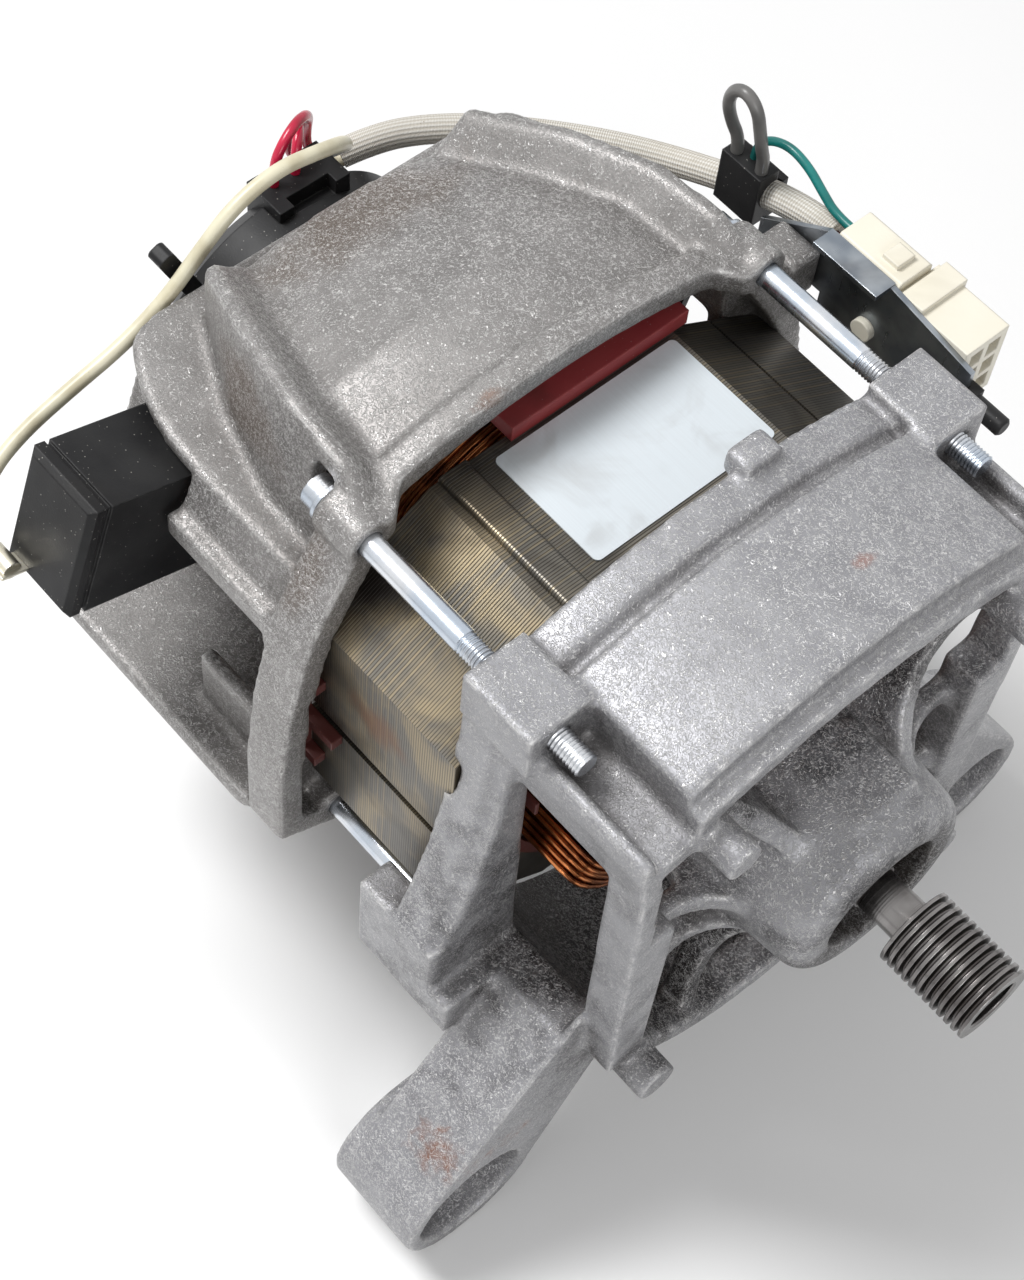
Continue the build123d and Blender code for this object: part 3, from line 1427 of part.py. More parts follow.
# Connector bracket: a zinc plate on the rear rim's right side, with a rolled flange at its top
bracket_front_x = shield_rear_x + bracket_lead
with BuildPart() as connector_bracket:
    with BuildSketch(Plane.XZ.offset(-bracket_plane)):
        with BuildLine():
            Polyline(
                (rim_rear_x - 0.5 * rear_rim_depth, 0.7 * bracket_top),
                (rim_rear_x - 0.5 * rear_rim_depth, 0.8 * bracket_top),
                (rear_face_x, bracket_top),
                (shield_rear_x - 0.45 * stack_length, bracket_top),
                (bracket_front_x, 0.92 * bracket_top),
                (bracket_front_x, 0.76 * bracket_top),
                (shield_rear_x - 0.1 * stack_length, 0.66 * bracket_top),
                (stack_mid_x, 0.5 * bracket_top),
                (rear_face_x + 2 * overrun, 0.5 * bracket_top),
                (rear_face_x + 2 * overrun, 0.7 * bracket_top),
                close=True,
            )
        make_face()
    extrude(amount=bracket_sheet)
    flange_run = 0.42 * stack_length
    flange_z = bracket_top - bracket_sheet / 2
    with Locations((rear_face_x + flange_run / 2, bracket_plane - bracket_flange / 2, flange_z)):
        Box(flange_run, bracket_flange, bracket_sheet)
    with BuildSketch(Plane.XZ.offset(-bracket_plane - bracket_sheet)):
        with Locations((bracket_screw_x, bracket_screw_z), (stack_mid_x, peg_rise)):
            Circle(small_pin_radius + seat_gap)
    extrude(amount=4 * bracket_sheet, mode=Mode.SUBTRACT)
write(connector_bracket, "connector_bracket")

with BuildPart() as bracket_screw:
    with BuildSketch(Plane.XZ.offset(-bracket_plane)):
        with Locations((bracket_screw_x, bracket_screw_z)):
            Circle(2 * small_pin_radius)
    extrude(amount=-small_pin_radius)
    with BuildSketch(Plane.XZ.offset(-bracket_plane)):
        with Locations((bracket_screw_x, bracket_screw_z)):
            Circle(small_pin_radius)
    extrude(amount=bracket_sheet + 0.8 * bracket_lug)
write(bracket_screw, "bracket_screw")


# Connector blocks on the bracket, with the peg that holds them through the plate and the end pin
plug_rear_x = stack_mid_x - plug_length + connector_shift
housing_front_x = stack_mid_x + connector_shift + housing_length
with BuildPart() as connector_plug:
    with Locations((plug_rear_x + plug_length / 2, bracket_plane + plug_depth / 2, plug_z)):
        Box(plug_length, plug_depth, plug_height)
    chamfer(connector_plug.edges().filter_by(Axis.X), overrun)
    latch_x = plug_rear_x + 0.7 * plug_length
    with Locations((latch_x, bracket_plane + plug_depth / 2, plug_z + plug_height / 2)):
        Box(plug_length / 4, plug_depth / 2, 3 * overrun)
write(connector_plug, "connector_plug")
with BuildPart() as connector_housing:
    with Locations((housing_front_x - housing_length / 2, bracket_plane + housing_depth / 2, housing_z)):
        Box(housing_length, housing_depth, housing_height)
    with Locations((housing_front_x - 0.8 * housing_length, bracket_plane + housing_depth / 2, housing_z)):
        Box(0.3 * housing_length, housing_depth + 2 * overrun, housing_height + 3 * overrun)
    with Locations((housing_front_x - housing_length / 2, bracket_plane - overrun, housing_z)):
        Box(2 * housing_length, 2 * overrun, 2 * housing_height, mode=Mode.SUBTRACT)
    with BuildSketch(Plane.YZ.offset(housing_front_x)):
        with Locations((bracket_plane + housing_depth / 2, housing_z)):
            with GridLocations(housing_depth / 2.4, housing_height / 3.4, 2, 3):
                Rectangle(housing_depth / 3.4, housing_height / 4.6)
    extrude(amount=-housing_length / 3, mode=Mode.SUBTRACT)
write(connector_housing, "connector_housing")
with BuildPart() as connector_peg:
    with BuildSketch(Plane.XZ.offset(-bracket_inner)):
        with Locations((stack_mid_x, peg_rise)):
            Circle(1.6 * small_pin_radius)
    extrude(amount=small_pin_radius)
    with BuildSketch(Plane.XZ.offset(-bracket_plane)):
        with Locations((stack_mid_x, peg_rise)):
            Circle(small_pin_radius)
    extrude(amount=bracket_sheet)
write(connector_peg, "connector_peg")
end_pin_z = 0.8 * bracket_top
with BuildPart() as bracket_pin:
    pin_y = bracket_plane - bracket_sheet / 2
    with Locations((bracket_front_x, pin_y, end_pin_z)):
        Box(2.4 * end_pin_radius, 2 * end_pin_radius, 2.4 * end_pin_radius)
    with BuildSketch(Plane.YZ.offset(bracket_front_x)):
        with Locations((pin_y, end_pin_z)):
            Circle(end_pin_radius)
    extrude(amount=end_pin_length)
    chamfer(bracket_pin.faces().sort_by(Axis.X)[-1].edges(), end_pin_radius / 4)
    with Locations((bracket_front_x - 2 * end_pin_radius + seat_gap, pin_y, end_pin_z)):
        Box(4 * end_pin_radius, bracket_sheet + 2 * seat_gap, 4 * end_pin_radius, mode=Mode.SUBTRACT)
write(bracket_pin, "bracket_pin")


def lead(name, radius, points):
    """Writes a round lead along its route: straight runs joined by arcs as large as the runs allow."""
    places = [Vector(p) for p in points]
    radii = []
    for before, corner, after in zip(places, places[1:], places[2:]):
        turn = radians((corner - before).get_angle(after - corner))
        shorter = min((corner - before).length, (after - corner).length)
        radii.append(0.45 * shorter / tan(turn / 2))
    with BuildPart() as cord:
        with BuildLine() as route:
            if radii:
                FilletPolyline(*places, radius=radii)
            else:
                Line(*places)
        path = route.wires()[0]
        with BuildSketch(Plane(origin=path @ 0, z_dir=path % 0)):
            Circle(radius)
        sweep(path=path)
    print(name, "radii in diameters", [round(r / radius / 2, 1) for r in radii])
    print(name, "volume", round(cord.part.volume, 1), "of", round(path.length * pi * radius**2, 1))
    write(cord, name)
    return path


# Leads, each along the route that it takes on the motor
lead("white_sleeve", sleeve_radius, sleeve_route)
cream_end = (left_crimp - Vector(terminal_length, 0, 0), left_crimp)
lead("cream_brush_lead", cream_radius, (*cream_route, *cream_end))
lead("red_tacho_lead_a", red_radius, red_route_a)
lead("red_tacho_lead_b", red_radius, red_route_b)
lead("grey_lead", grey_radius, grey_route)
lead("teal_lead", teal_radius, teal_route)
lead("dark_red_lead", teal_radius, dark_red_route)


# Black clip round the sleeve, which also takes both ends of the grey loop
clip_start, clip_end = Vector(sleeve_route[5]), Vector(sleeve_route[6])
clip_middle = clip_start + (clip_end - clip_start) * clip_share
clip_way = (clip_end - clip_start).normalized()
with BuildPart() as cable_clip:
    with Locations(tuple(clip_middle)):
        Box(clip_body_length, clip_body_width, clip_body_width)
    clip_low = clip_middle.Z + clip_body_width / 4
    with Locations((clip_middle.X, clip_middle.Y - clip_body_width / 5, (clip_low + clip_top) / 2)):
        Box(clip_body_length, 0.6 * clip_body_width, clip_top - clip_low)
    with BuildSketch(Plane(origin=clip_middle - clip_way * 2 * clip_body_length, z_dir=clip_way)):
        Circle(sleeve_radius + 2 * seat_gap)
    extrude(amount=4 * clip_body_length, mode=Mode.SUBTRACT)
write(cable_clip, "cable_clip")
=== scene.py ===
"""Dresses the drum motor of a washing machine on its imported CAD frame.

Most of the frame's nodes keep their shapes and get finishes. The two castings, the windings' strands, the
brush springs, the leads and the woven sleeve are built anew in the place of their CAD forms.

Sizes are in millimetres, and MM turns them into Blender's metres. Only the studio's sizes are in metres. All
places are in the frame's own axes: +X out of the pulley end, +Y to the connectors' side and +Z up through the
rating plate.
"""

from __future__ import annotations

import json
import logging
import math
import random
from abc import ABC, abstractmethod
from dataclasses import dataclass, field
from enum import Enum
from typing import Iterable, Sequence

import bmesh
import bpy
from mathutils import Matrix, Vector

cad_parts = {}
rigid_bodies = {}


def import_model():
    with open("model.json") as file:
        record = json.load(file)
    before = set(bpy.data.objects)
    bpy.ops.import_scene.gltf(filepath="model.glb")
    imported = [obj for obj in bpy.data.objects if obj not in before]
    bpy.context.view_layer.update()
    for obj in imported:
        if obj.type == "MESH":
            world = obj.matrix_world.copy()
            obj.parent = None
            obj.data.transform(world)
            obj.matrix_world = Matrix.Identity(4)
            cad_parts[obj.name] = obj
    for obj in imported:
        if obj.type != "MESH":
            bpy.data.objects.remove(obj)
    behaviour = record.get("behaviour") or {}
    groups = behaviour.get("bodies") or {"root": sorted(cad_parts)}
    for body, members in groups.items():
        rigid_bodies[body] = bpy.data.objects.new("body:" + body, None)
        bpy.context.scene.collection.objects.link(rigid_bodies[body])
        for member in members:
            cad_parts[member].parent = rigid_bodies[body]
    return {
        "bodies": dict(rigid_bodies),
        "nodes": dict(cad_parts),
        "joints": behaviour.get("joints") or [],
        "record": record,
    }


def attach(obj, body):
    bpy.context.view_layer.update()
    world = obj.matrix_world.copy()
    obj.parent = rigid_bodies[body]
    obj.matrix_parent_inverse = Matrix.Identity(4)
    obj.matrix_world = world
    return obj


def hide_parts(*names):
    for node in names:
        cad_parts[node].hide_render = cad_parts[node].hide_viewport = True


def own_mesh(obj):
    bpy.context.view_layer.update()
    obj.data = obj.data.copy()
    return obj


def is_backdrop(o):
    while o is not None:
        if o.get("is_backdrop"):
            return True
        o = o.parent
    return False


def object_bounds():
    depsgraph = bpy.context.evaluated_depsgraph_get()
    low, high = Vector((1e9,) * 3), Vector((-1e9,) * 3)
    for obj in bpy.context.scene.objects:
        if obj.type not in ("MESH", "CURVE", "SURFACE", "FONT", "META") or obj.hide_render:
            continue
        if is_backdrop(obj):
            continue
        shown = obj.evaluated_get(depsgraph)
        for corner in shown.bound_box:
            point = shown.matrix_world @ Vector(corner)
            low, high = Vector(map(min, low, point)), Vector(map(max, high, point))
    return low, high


log = logging.getLogger("motor")
MM = 0.001
SPLINE_ORDER = 3
RAY_SAMPLES = 6
Colour = tuple[float, float, float]
Point = tuple[float, float, float]
Socket = bpy.types.NodeSocket


class Body(Enum):
    """The bodies that new pieces ride on."""

    HOUSING = "housing"
    ROTOR = "rotor"


def millimetres(points: Iterable[Point]) -> list[Vector]:
    """Turns points given in millimetres into vectors in metres."""
    return [Vector(p) * MM for p in points]


def polar(x: float, radius: float, angle: float) -> Vector:
    """A point at a station along the shaft, a radius and an angle in degrees, in metres."""
    a = math.radians(angle)
    return Vector((x * MM, radius * math.cos(a) * MM, radius * math.sin(a) * MM))


@dataclass
class Graph:
    """A node tree that is being wired."""

    tree: bpy.types.NodeTree

    def node(self, kind: str, values: dict | None = None, **settings: object) -> bpy.types.Node:
        """Adds a node and fills or links its inputs.

        Args:
            kind: the node's type name.
            values: input name or number to a value, or to the output socket that feeds it.
            settings: properties of the node itself.

        Returns:
            The new node.
        """
        made = self.tree.nodes.new(kind)
        for name, value in settings.items():
            setattr(made, name, value)
        for name, value in (values or {}).items():
            socket = made.inputs[name]
            if isinstance(value, Socket):
                self.tree.links.new(value, socket)
            elif socket.type == "RGBA" and len(value) == 3:
                socket.default_value = (*value, 1.0)
            else:
                socket.default_value = value
        return made

    def place(self) -> Socket:
        """Gives the place that is being shaded, on the piece's own axes."""
        return self.node("ShaderNodeTexCoord").outputs["Object"]

    def maths(self, operation: str, first: object, second: object = 0.0, clamp: bool = False) -> Socket:
        """Joins two values with a Math node.

        Args:
            operation: the Math node's operation.
            first: a number or a socket.
            second: a number or a socket.
            clamp: whether the result is held between 0 and 1.

        Returns:
            The result's socket.
        """
        made = self.node("ShaderNodeMath", {0: first, 1: second}, operation=operation, use_clamp=clamp)
        return made.outputs[0]

    def times(self, first: object, second: object, clamp: bool = False) -> Socket:
        """Multiplies two values."""
        return self.maths("MULTIPLY", first, second, clamp)

    def plus(self, first: object, second: object) -> Socket:
        """Adds two values."""
        return self.maths("ADD", first, second)

    def minus(self, first: object, second: object) -> Socket:
        """Takes the second value from the first."""
        return self.maths("SUBTRACT", first, second)

    def vector(self, operation: str, *values: object) -> bpy.types.Node:
        """Joins vectors with a Vector Math node.

        Args:
            operation: the node's operation.
            values: the vectors, or the sockets that feed them.

        Returns:
            The node. Its output 0 is a vector, and its output "Value" is a number.
        """
        return self.node("ShaderNodeVectorMath", dict(enumerate(values)), operation=operation)

    def mix(self, share: object, first: object, second: object) -> Socket:
        """Mixes two colours.

        Args:
            share: how much of the second shows, a number or a socket.
            first: a colour or a socket.
            second: a colour or a socket.

        Returns:
            The mixed colour's socket.
        """
        made = self.node("ShaderNodeMix", {0: share, 6: first, 7: second}, data_type="RGBA")
        return made.outputs[2]

    def ramp(self, value: object, low: float, high: float, start: float = 0.0, end: float = 1.0) -> Socket:
        """Maps low..high to start..end and holds it there.

        Args:
            value: the socket to map.
            low: the value that gives start.
            high: the value that gives end.
            start: the first result.
            end: the last result.

        Returns:
            The mapped value's socket.
        """
        made = self.node(
            "ShaderNodeMapRange",
            {0: value, 1: low, 2: high, 3: start, 4: end},
            interpolation_type="SMOOTHSTEP",
        )
        return made.outputs[0]

    def noise(self, vector: Socket, scale: object, detail: float = 2.0, distortion: object = 0.0) -> Socket:
        """Adds a noise.

        Args:
            vector: where it is read.
            scale: features per metre, a number or a socket.
            detail: how many finer layers it has.
            distortion: how much it is stirred, a number or a socket.

        Returns:
            The noise's value.
        """
        values = {"Vector": vector, "Scale": scale, "Detail": detail, "Distortion": distortion}
        return self.node("ShaderNodeTexNoise", values).outputs["Fac"]

    def effect(self, tree: bpy.types.NodeTree, **values: float) -> bpy.types.Node:
        """Places a shared effect.

        Args:
            tree: the effect's node group.
            values: the group's inputs that differ from their defaults.

        Returns:
            The group's node.
        """
        return self.node("ShaderNodeGroup", values, node_tree=tree)

    def relief(self, height: Socket, strength: float, depth: float, normal: Socket | None = None) -> Socket:
        """Raises a fine relief.

        Args:
            height: the relief's height, from 0 to 1.
            strength: how strong it is.
            depth: how deep it is, in millimetres.
            normal: the normal that it stands on.

        Returns:
            The relief's normal.
        """
        values = {"Strength": strength, "Distance": depth * MM, "Height": height}
        if normal is not None:
            values["Normal"] = normal
        return self.node("ShaderNodeBump", values).outputs[0]


def shader_group(
    name: str, inputs: dict[str, float], outputs: dict[str, str]
) -> tuple[Graph, bpy.types.Node, bpy.types.Node]:
    """Starts a shader node group with its sockets.

    Args:
        name: the group's name.
        inputs: input name to its default value.
        outputs: output name to its socket type.

    Returns:
        The group's graph, its input node and its output node.
    """
    tree = bpy.data.node_groups.new(name, "ShaderNodeTree")
    for label, value in inputs.items():
        socket = tree.interface.new_socket(name=label, in_out="INPUT", socket_type="NodeSocketFloat")
        socket.default_value = value
    for label, kind in outputs.items():
        tree.interface.new_socket(name=label, in_out="OUTPUT", socket_type=kind)
    return Graph(tree), tree.nodes.new("NodeGroupInput"), tree.nodes.new("NodeGroupOutput")


class Effects:
    """The effects that several finishes share, each built once as a node group."""

    def __init__(self) -> None:
        """Builds every shared effect."""
        self.edge_wear = self._edge_wear()
        self.cast_grain = self._cast_grain()
        self.grime_and_shade = self._grime_and_shade()
        self.dust = self._dust()

    @staticmethod
    def _edge_wear() -> bpy.types.NodeTree:
        """Builds the mask of worn edges and the rounded normal that goes with it.

        Returns:
            The effect's node group.
        """
        graph, source, sink = shader_group(
            "Edge wear",
            {"Radius": 0.001, "Amount": 1.0},
            {"Edge": "NodeSocketFloat", "Normal": "NodeSocketVector"},
        )
        bevel = graph.node("ShaderNodeBevel", {"Radius": source.outputs["Radius"]}, samples=RAY_SAMPLES)
        flat = graph.node("ShaderNodeNewGeometry")
        alike = graph.vector("DOT_PRODUCT", bevel.outputs[0], flat.outputs["True Normal"])
        turned = graph.minus(1.0, alike.outputs["Value"])
        broken = graph.ramp(graph.noise(graph.place(), scale=260.0, detail=3.0), low=0.36, high=0.6)
        mask = graph.times(graph.ramp(turned, low=0.01, high=0.16), broken)
        worn = graph.times(mask, source.outputs["Amount"], clamp=True)
        graph.tree.links.new(worn, sink.inputs["Edge"])
        graph.tree.links.new(bevel.outputs[0], sink.inputs["Normal"])
        return graph.tree

    @staticmethod
    def _cast_grain() -> bpy.types.NodeTree:
        """Builds the crinkled skin of a die casting: two layers of short strokes over a soft unevenness.

        Returns:
            The effect's node group.
        """
        graph, source, sink = shader_group(
            "Cast grain",
            {"Scale": 520.0, "Stir": 1.6},
            {"Height": "NodeSocketFloat", "Worms": "NodeSocketFloat"},
        )
        place = graph.place()
        layers = []
        for shift, share in ((0.0, 1.0), (0.37, 1.35)):
            moved = graph.vector("ADD", place, (shift, shift, -shift)).outputs[0]
            size = graph.times(source.outputs["Scale"], share)
            swirl = graph.noise(moved, size, detail=1.0, distortion=source.outputs["Stir"])
            ridge = graph.maths("ABSOLUTE", graph.minus(swirl, 0.5))
            cut = graph.noise(moved, graph.times(size, 1.3))
            line = graph.ramp(ridge, low=0.05, high=0.0)
            layers.append(graph.times(line, graph.ramp(cut, low=0.42, high=0.5)))
        strokes = graph.maths("MAXIMUM", *layers)
        fine = graph.noise(place, scale=2600.0)
        soft = graph.noise(place, scale=70.0, detail=1.0)
        height = graph.plus(graph.times(strokes, 0.8), graph.times(fine, 0.3))
        height = graph.plus(height, graph.times(soft, 0.3))
        graph.tree.links.new(height, sink.inputs["Height"])
        graph.tree.links.new(strokes, sink.inputs["Worms"])
        return graph.tree

    @staticmethod
    def _grime_and_shade() -> bpy.types.NodeTree:
        """Builds a mask of painted shade in corners, from ambient occlusion, and of dirty soft patches.

        Returns:
            The effect's node group.
        """
        graph, source, sink = shader_group(
            "Corner grime",
            {"Reach": 0.012, "Corners": 1.0, "Patches": 0.4},
            {"Mask": "NodeSocketFloat"},
        )
        place = graph.place()
        reach = {"Distance": source.outputs["Reach"]}
        # Painted shade: ambient occlusion darkens the corners.
        hidden = graph.node("ShaderNodeAmbientOcclusion", reach, samples=RAY_SAMPLES)
        corners = graph.minus(1.0, hidden.outputs["AO"])
        broken = graph.ramp(graph.noise(place, scale=90.0, detail=4.0), low=0.25, high=0.7, start=0.35)
        corners = graph.times(graph.times(corners, broken), source.outputs["Corners"])
        cloud = graph.noise(place, scale=26.0, detail=5.0, distortion=0.6)
        patches = graph.times(graph.ramp(cloud, low=0.48, high=0.7), source.outputs["Patches"])
        mask = graph.maths("MAXIMUM", corners, patches, clamp=True)
        graph.tree.links.new(mask, sink.inputs["Mask"])
        return graph.tree

    @staticmethod
    def _dust() -> bpy.types.NodeTree:
        """Builds sparse light specks of dust.

        Returns:
            The effect's node group.
        """
        graph, source, sink = shader_group(
            "Dust specks",
            {"Scale": 900.0, "Amount": 1.0},
            {"Mask": "NodeSocketFloat"},
        )
        place = graph.place()
        cells = graph.node(
            "ShaderNodeTexVoronoi", {"Vector": place, "Scale": source.outputs["Scale"]}, feature="F1"
        )
        speck = graph.ramp(cells.outputs["Distance"], low=0.2, high=0.08)
        few = graph.ramp(graph.noise(place, scale=700.0, detail=1.0), low=0.56, high=0.62)
        mask = graph.times(graph.times(speck, few), source.outputs["Amount"])
        graph.tree.links.new(mask, sink.inputs["Mask"])
        return graph.tree


@dataclass(frozen=True)
class Stain:
    """A local mark: where it is, how far it reaches, its colour, its strength and how ragged its edge is."""

    place: Point
    reach: Point
    colour: Colour
    strength: float
    ragged: float


def stained(graph: Graph, place: Socket, colour: Socket, stains: Sequence[Stain]) -> Socket:
    """Lays local marks over a colour.

    Args:
        graph: the material's graph.
        place: where the colour is read.
        colour: the colour's socket.
        stains: the marks.

    Returns:
        The marked colour's socket.
    """
    for stain in stains:
        away = graph.vector("SUBTRACT", place, Vector(stain.place) * MM)
        shares = graph.vector("MULTIPLY", away.outputs[0], [1.0 / (r * MM) for r in stain.reach])
        length = graph.vector("LENGTH", shares.outputs[0])
        torn = graph.noise(place, stain.ragged, detail=4.0, distortion=0.5)
        edge = graph.plus(length.outputs["Value"], torn)
        mask = graph.times(graph.ramp(edge, low=1.35, high=0.75), stain.strength)
        colour = graph.mix(mask, colour, stain.colour)
    return colour


@dataclass(frozen=True)
class Finish(ABC):
    """A surface finish that makes its own material."""

    name: str

    @abstractmethod
    def wire(self, graph: Graph, effects: Effects) -> dict[str, object]:
        """Wires the finish.

        Args:
            graph: the material's graph.
            effects: the shared effects.

        Returns:
            Principled BSDF input name to its value or socket.
        """

    def material(self, effects: Effects) -> bpy.types.Material:
        """Makes the material.

        Args:
            effects: the shared effects.

        Returns:
            The new material.
        """
        made = bpy.data.materials.new(self.name)
        made.use_nodes = True
        made.node_tree.nodes.clear()
        graph = Graph(made.node_tree)
        shader = graph.node("ShaderNodeBsdfPrincipled", self.wire(graph, effects))
        graph.node("ShaderNodeOutputMaterial", {"Surface": shader.outputs["BSDF"]})
        return made


@dataclass(frozen=True)
class CastFinish(Finish):
    """Die-cast light alloy with its crinkled skin, painted highlights on its strokes, worn edges, dirty
    patches and painted shade in the corners.
    """

    light: Colour
    dark: Colour
    grain: float
    patches: float
    stains: tuple[Stain, ...]
    soil_and_shade: Colour = (0.055, 0.045, 0.038)
    bare_and_highlight: Colour = (0.74, 0.73, 0.72)
    # corners and reach set the painted corner shade: its strength and how far it looks.
    corners: float = 1.0
    reach: float = 30.0
    wear: float = 0.8
    edge_radius: float = 2.4
    metal: float = 0.7
    roughness: float = 0.42
    sparkle: float = 0.6
    depth: float = 0.22

    def wire(self, graph: Graph, effects: Effects) -> dict[str, object]:
        """Wires the casting's colour, gloss and relief.

        Args:
            graph: the material's graph.
            effects: the shared effects.

        Returns:
            Principled BSDF input name to its value or socket.
        """
        place = graph.place()
        edge = graph.effect(effects.edge_wear, Radius=self.edge_radius * MM, Amount=self.wear)
        grain = graph.effect(effects.cast_grain, Scale=self.grain)
        worms = grain.outputs["Worms"]
        grime_and_shade = graph.effect(
            effects.grime_and_shade, Reach=self.reach * MM, Corners=self.corners, Patches=self.patches
        ).outputs["Mask"]
        tone = graph.ramp(graph.noise(place, scale=120.0, detail=3.0), low=0.25, high=0.75)
        colour = graph.mix(tone, self.dark, self.light)
        colour = stained(graph, place, colour, self.stains)
        # Painted shade: ambient occlusion darkens corners towards the soil colour, together with dirty
        # patches.
        colour = graph.mix(grime_and_shade, colour, self.soil_and_shade)
        # Painted highlight: the skin's strokes are lightened towards the bare colour, but not where the
        # painted corner shade lies.
        lit = graph.times(worms, graph.minus(1.0, grime_and_shade))
        colour = graph.mix(graph.times(lit, self.sparkle), colour, self.bare_and_highlight)
        colour = graph.mix(edge.outputs["Edge"], colour, self.bare_and_highlight)
        rough = graph.plus(graph.times(grime_and_shade, 0.25), self.roughness)
        rough = graph.minus(rough, graph.times(worms, 0.15))
        normal = graph.relief(grain.outputs["Height"], 0.7, self.depth, edge.outputs["Normal"])
        return {"Base Color": colour, "Metallic": self.metal, "Roughness": rough, "Normal": normal}


# Near-black of the varnish, also used for painted shade on the stack.
DARK_VARNISH_AND_SHADE = (0.018, 0.014, 0.012)


@dataclass(frozen=True)
class LaminationFinish(Finish):
    """Stacked steel sheets: fine lines across the shaft, a varnish haze, painted shade in corners and painted
    gold highlights, strongest on the low side.
    """

    stains: tuple[Stain, ...]
    steel: Colour = (0.16, 0.15, 0.132)
    gap: Colour = (0.028, 0.024, 0.02)
    gold: Colour = (0.42, 0.33, 0.19)
    soot_and_shade: Colour = DARK_VARNISH_AND_SHADE
    pitch: float = 0.8
    stir: float = 0.25
    dim_side: float = -22.0
    highlight_side: float = -42.0
    metal: float = 0.8
    roughness: float = 0.36
    depth: float = 0.12

    def wire(self, graph: Graph, effects: Effects) -> dict[str, object]:
        """Wires the stack's sheet lines and tones.

        Args:
            graph: the material's graph.
            effects: the shared effects.

        Returns:
            Principled BSDF input name to its value or socket.
        """
        place = graph.place()
        axes = graph.node("ShaderNodeSeparateXYZ", {0: place})
        stir = graph.times(graph.noise(place, scale=140.0), self.stir * MM)
        along = graph.plus(axes.outputs["X"], stir)
        sheet = graph.maths("FRACT", graph.maths("DIVIDE", along, self.pitch * MM))
        line = graph.ramp(graph.maths("ABSOLUTE", graph.minus(sheet, 0.5)), low=0.28, high=0.5)
        packs = graph.node(
            "ShaderNodeTexNoise", {"Scale": 900.0, "Detail": 1.0, "W": along}, noise_dimensions="1D"
        )
        tone = graph.ramp(packs.outputs["Fac"], low=0.5, high=0.75)
        # Painted highlights: gold glints, full on the low side and faint towards the top.
        glints = graph.ramp(graph.noise(place, scale=45.0, detail=4.0, distortion=0.6), low=0.40, high=0.62)
        side = graph.ramp(axes.outputs["Y"], self.dim_side * MM, self.highlight_side * MM, start=0.12)
        glints = graph.times(glints, side)
        patches = graph.ramp(graph.noise(place, scale=30.0, detail=5.0, distortion=0.8), low=0.45, high=0.68)
        colour = graph.mix(graph.times(tone, 0.35), self.steel, self.gold)
        colour = graph.mix(graph.times(glints, 0.55), colour, self.gold)
        colour = graph.mix(graph.times(line, 0.85), colour, self.gap)
        colour = graph.mix(graph.times(patches, 0.6), colour, self.soot_and_shade)
        colour = stained(graph, place, colour, self.stains)
        # Painted shade: ambient occlusion darkens the stack's corners towards the near-black colour.
        grime_and_shade = graph.effect(effects.grime_and_shade, Corners=0.9, Patches=0.1)
        colour = graph.mix(grime_and_shade.outputs["Mask"], colour, self.soot_and_shade)
        normal = graph.relief(graph.minus(1.0, line), 0.6, self.depth)
        return {"Base Color": colour, "Metallic": self.metal, "Roughness": self.roughness, "Normal": normal}


@dataclass(frozen=True)
class SteelFinish(Finish):
    """Turned, plated or ground steel, with fine grain round the shaft's direction."""

    colour: Colour
    shade: Colour
    roughness: float
    darkening: float
    worn: Colour = (0.85, 0.85, 0.85)
    soil_and_shade: Colour = (0.06, 0.05, 0.045)
    grain: Point = (900.0, 60.0, 60.0)
    reach: float = 4.0
    edge_radius: float = 0.35
    depth: float = 0.06

    def wire(self, graph: Graph, effects: Effects) -> dict[str, object]:
        """Wires the steel's grain, tint, dirty patches and painted corner shade.

        Args:
            graph: the material's graph.
            effects: the shared effects.

        Returns:
            Principled BSDF input name to its value or socket.
        """
        place = graph.place()
        lines = graph.noise(graph.vector("MULTIPLY", place, self.grain).outputs[0], scale=1.0, detail=3.0)
        tint = graph.ramp(graph.noise(place, scale=70.0, detail=3.0), low=0.35, high=0.65)
        # Painted shade: ambient occlusion darkens corners towards the soil colour, twice as strong as the
        # dirty patches.
        grime_and_shade = graph.effect(
            effects.grime_and_shade, Reach=self.reach * MM, Corners=self.darkening * 2, Patches=self.darkening
        ).outputs["Mask"]
        edge = graph.effect(effects.edge_wear, Radius=self.edge_radius * MM)
        colour = graph.mix(tint, self.colour, self.shade)
        colour = graph.mix(graph.times(edge.outputs["Edge"], 0.4), colour, self.worn)
        colour = graph.mix(grime_and_shade, colour, self.soil_and_shade)
        rough = graph.plus(graph.times(lines, 0.18), self.roughness - 0.09)
        rough = graph.plus(rough, graph.times(grime_and_shade, 0.3))
        normal = graph.relief(lines, 0.5, self.depth, edge.outputs["Normal"])
        return {"Base Color": colour, "Metallic": 1.0, "Roughness": rough, "Normal": normal}


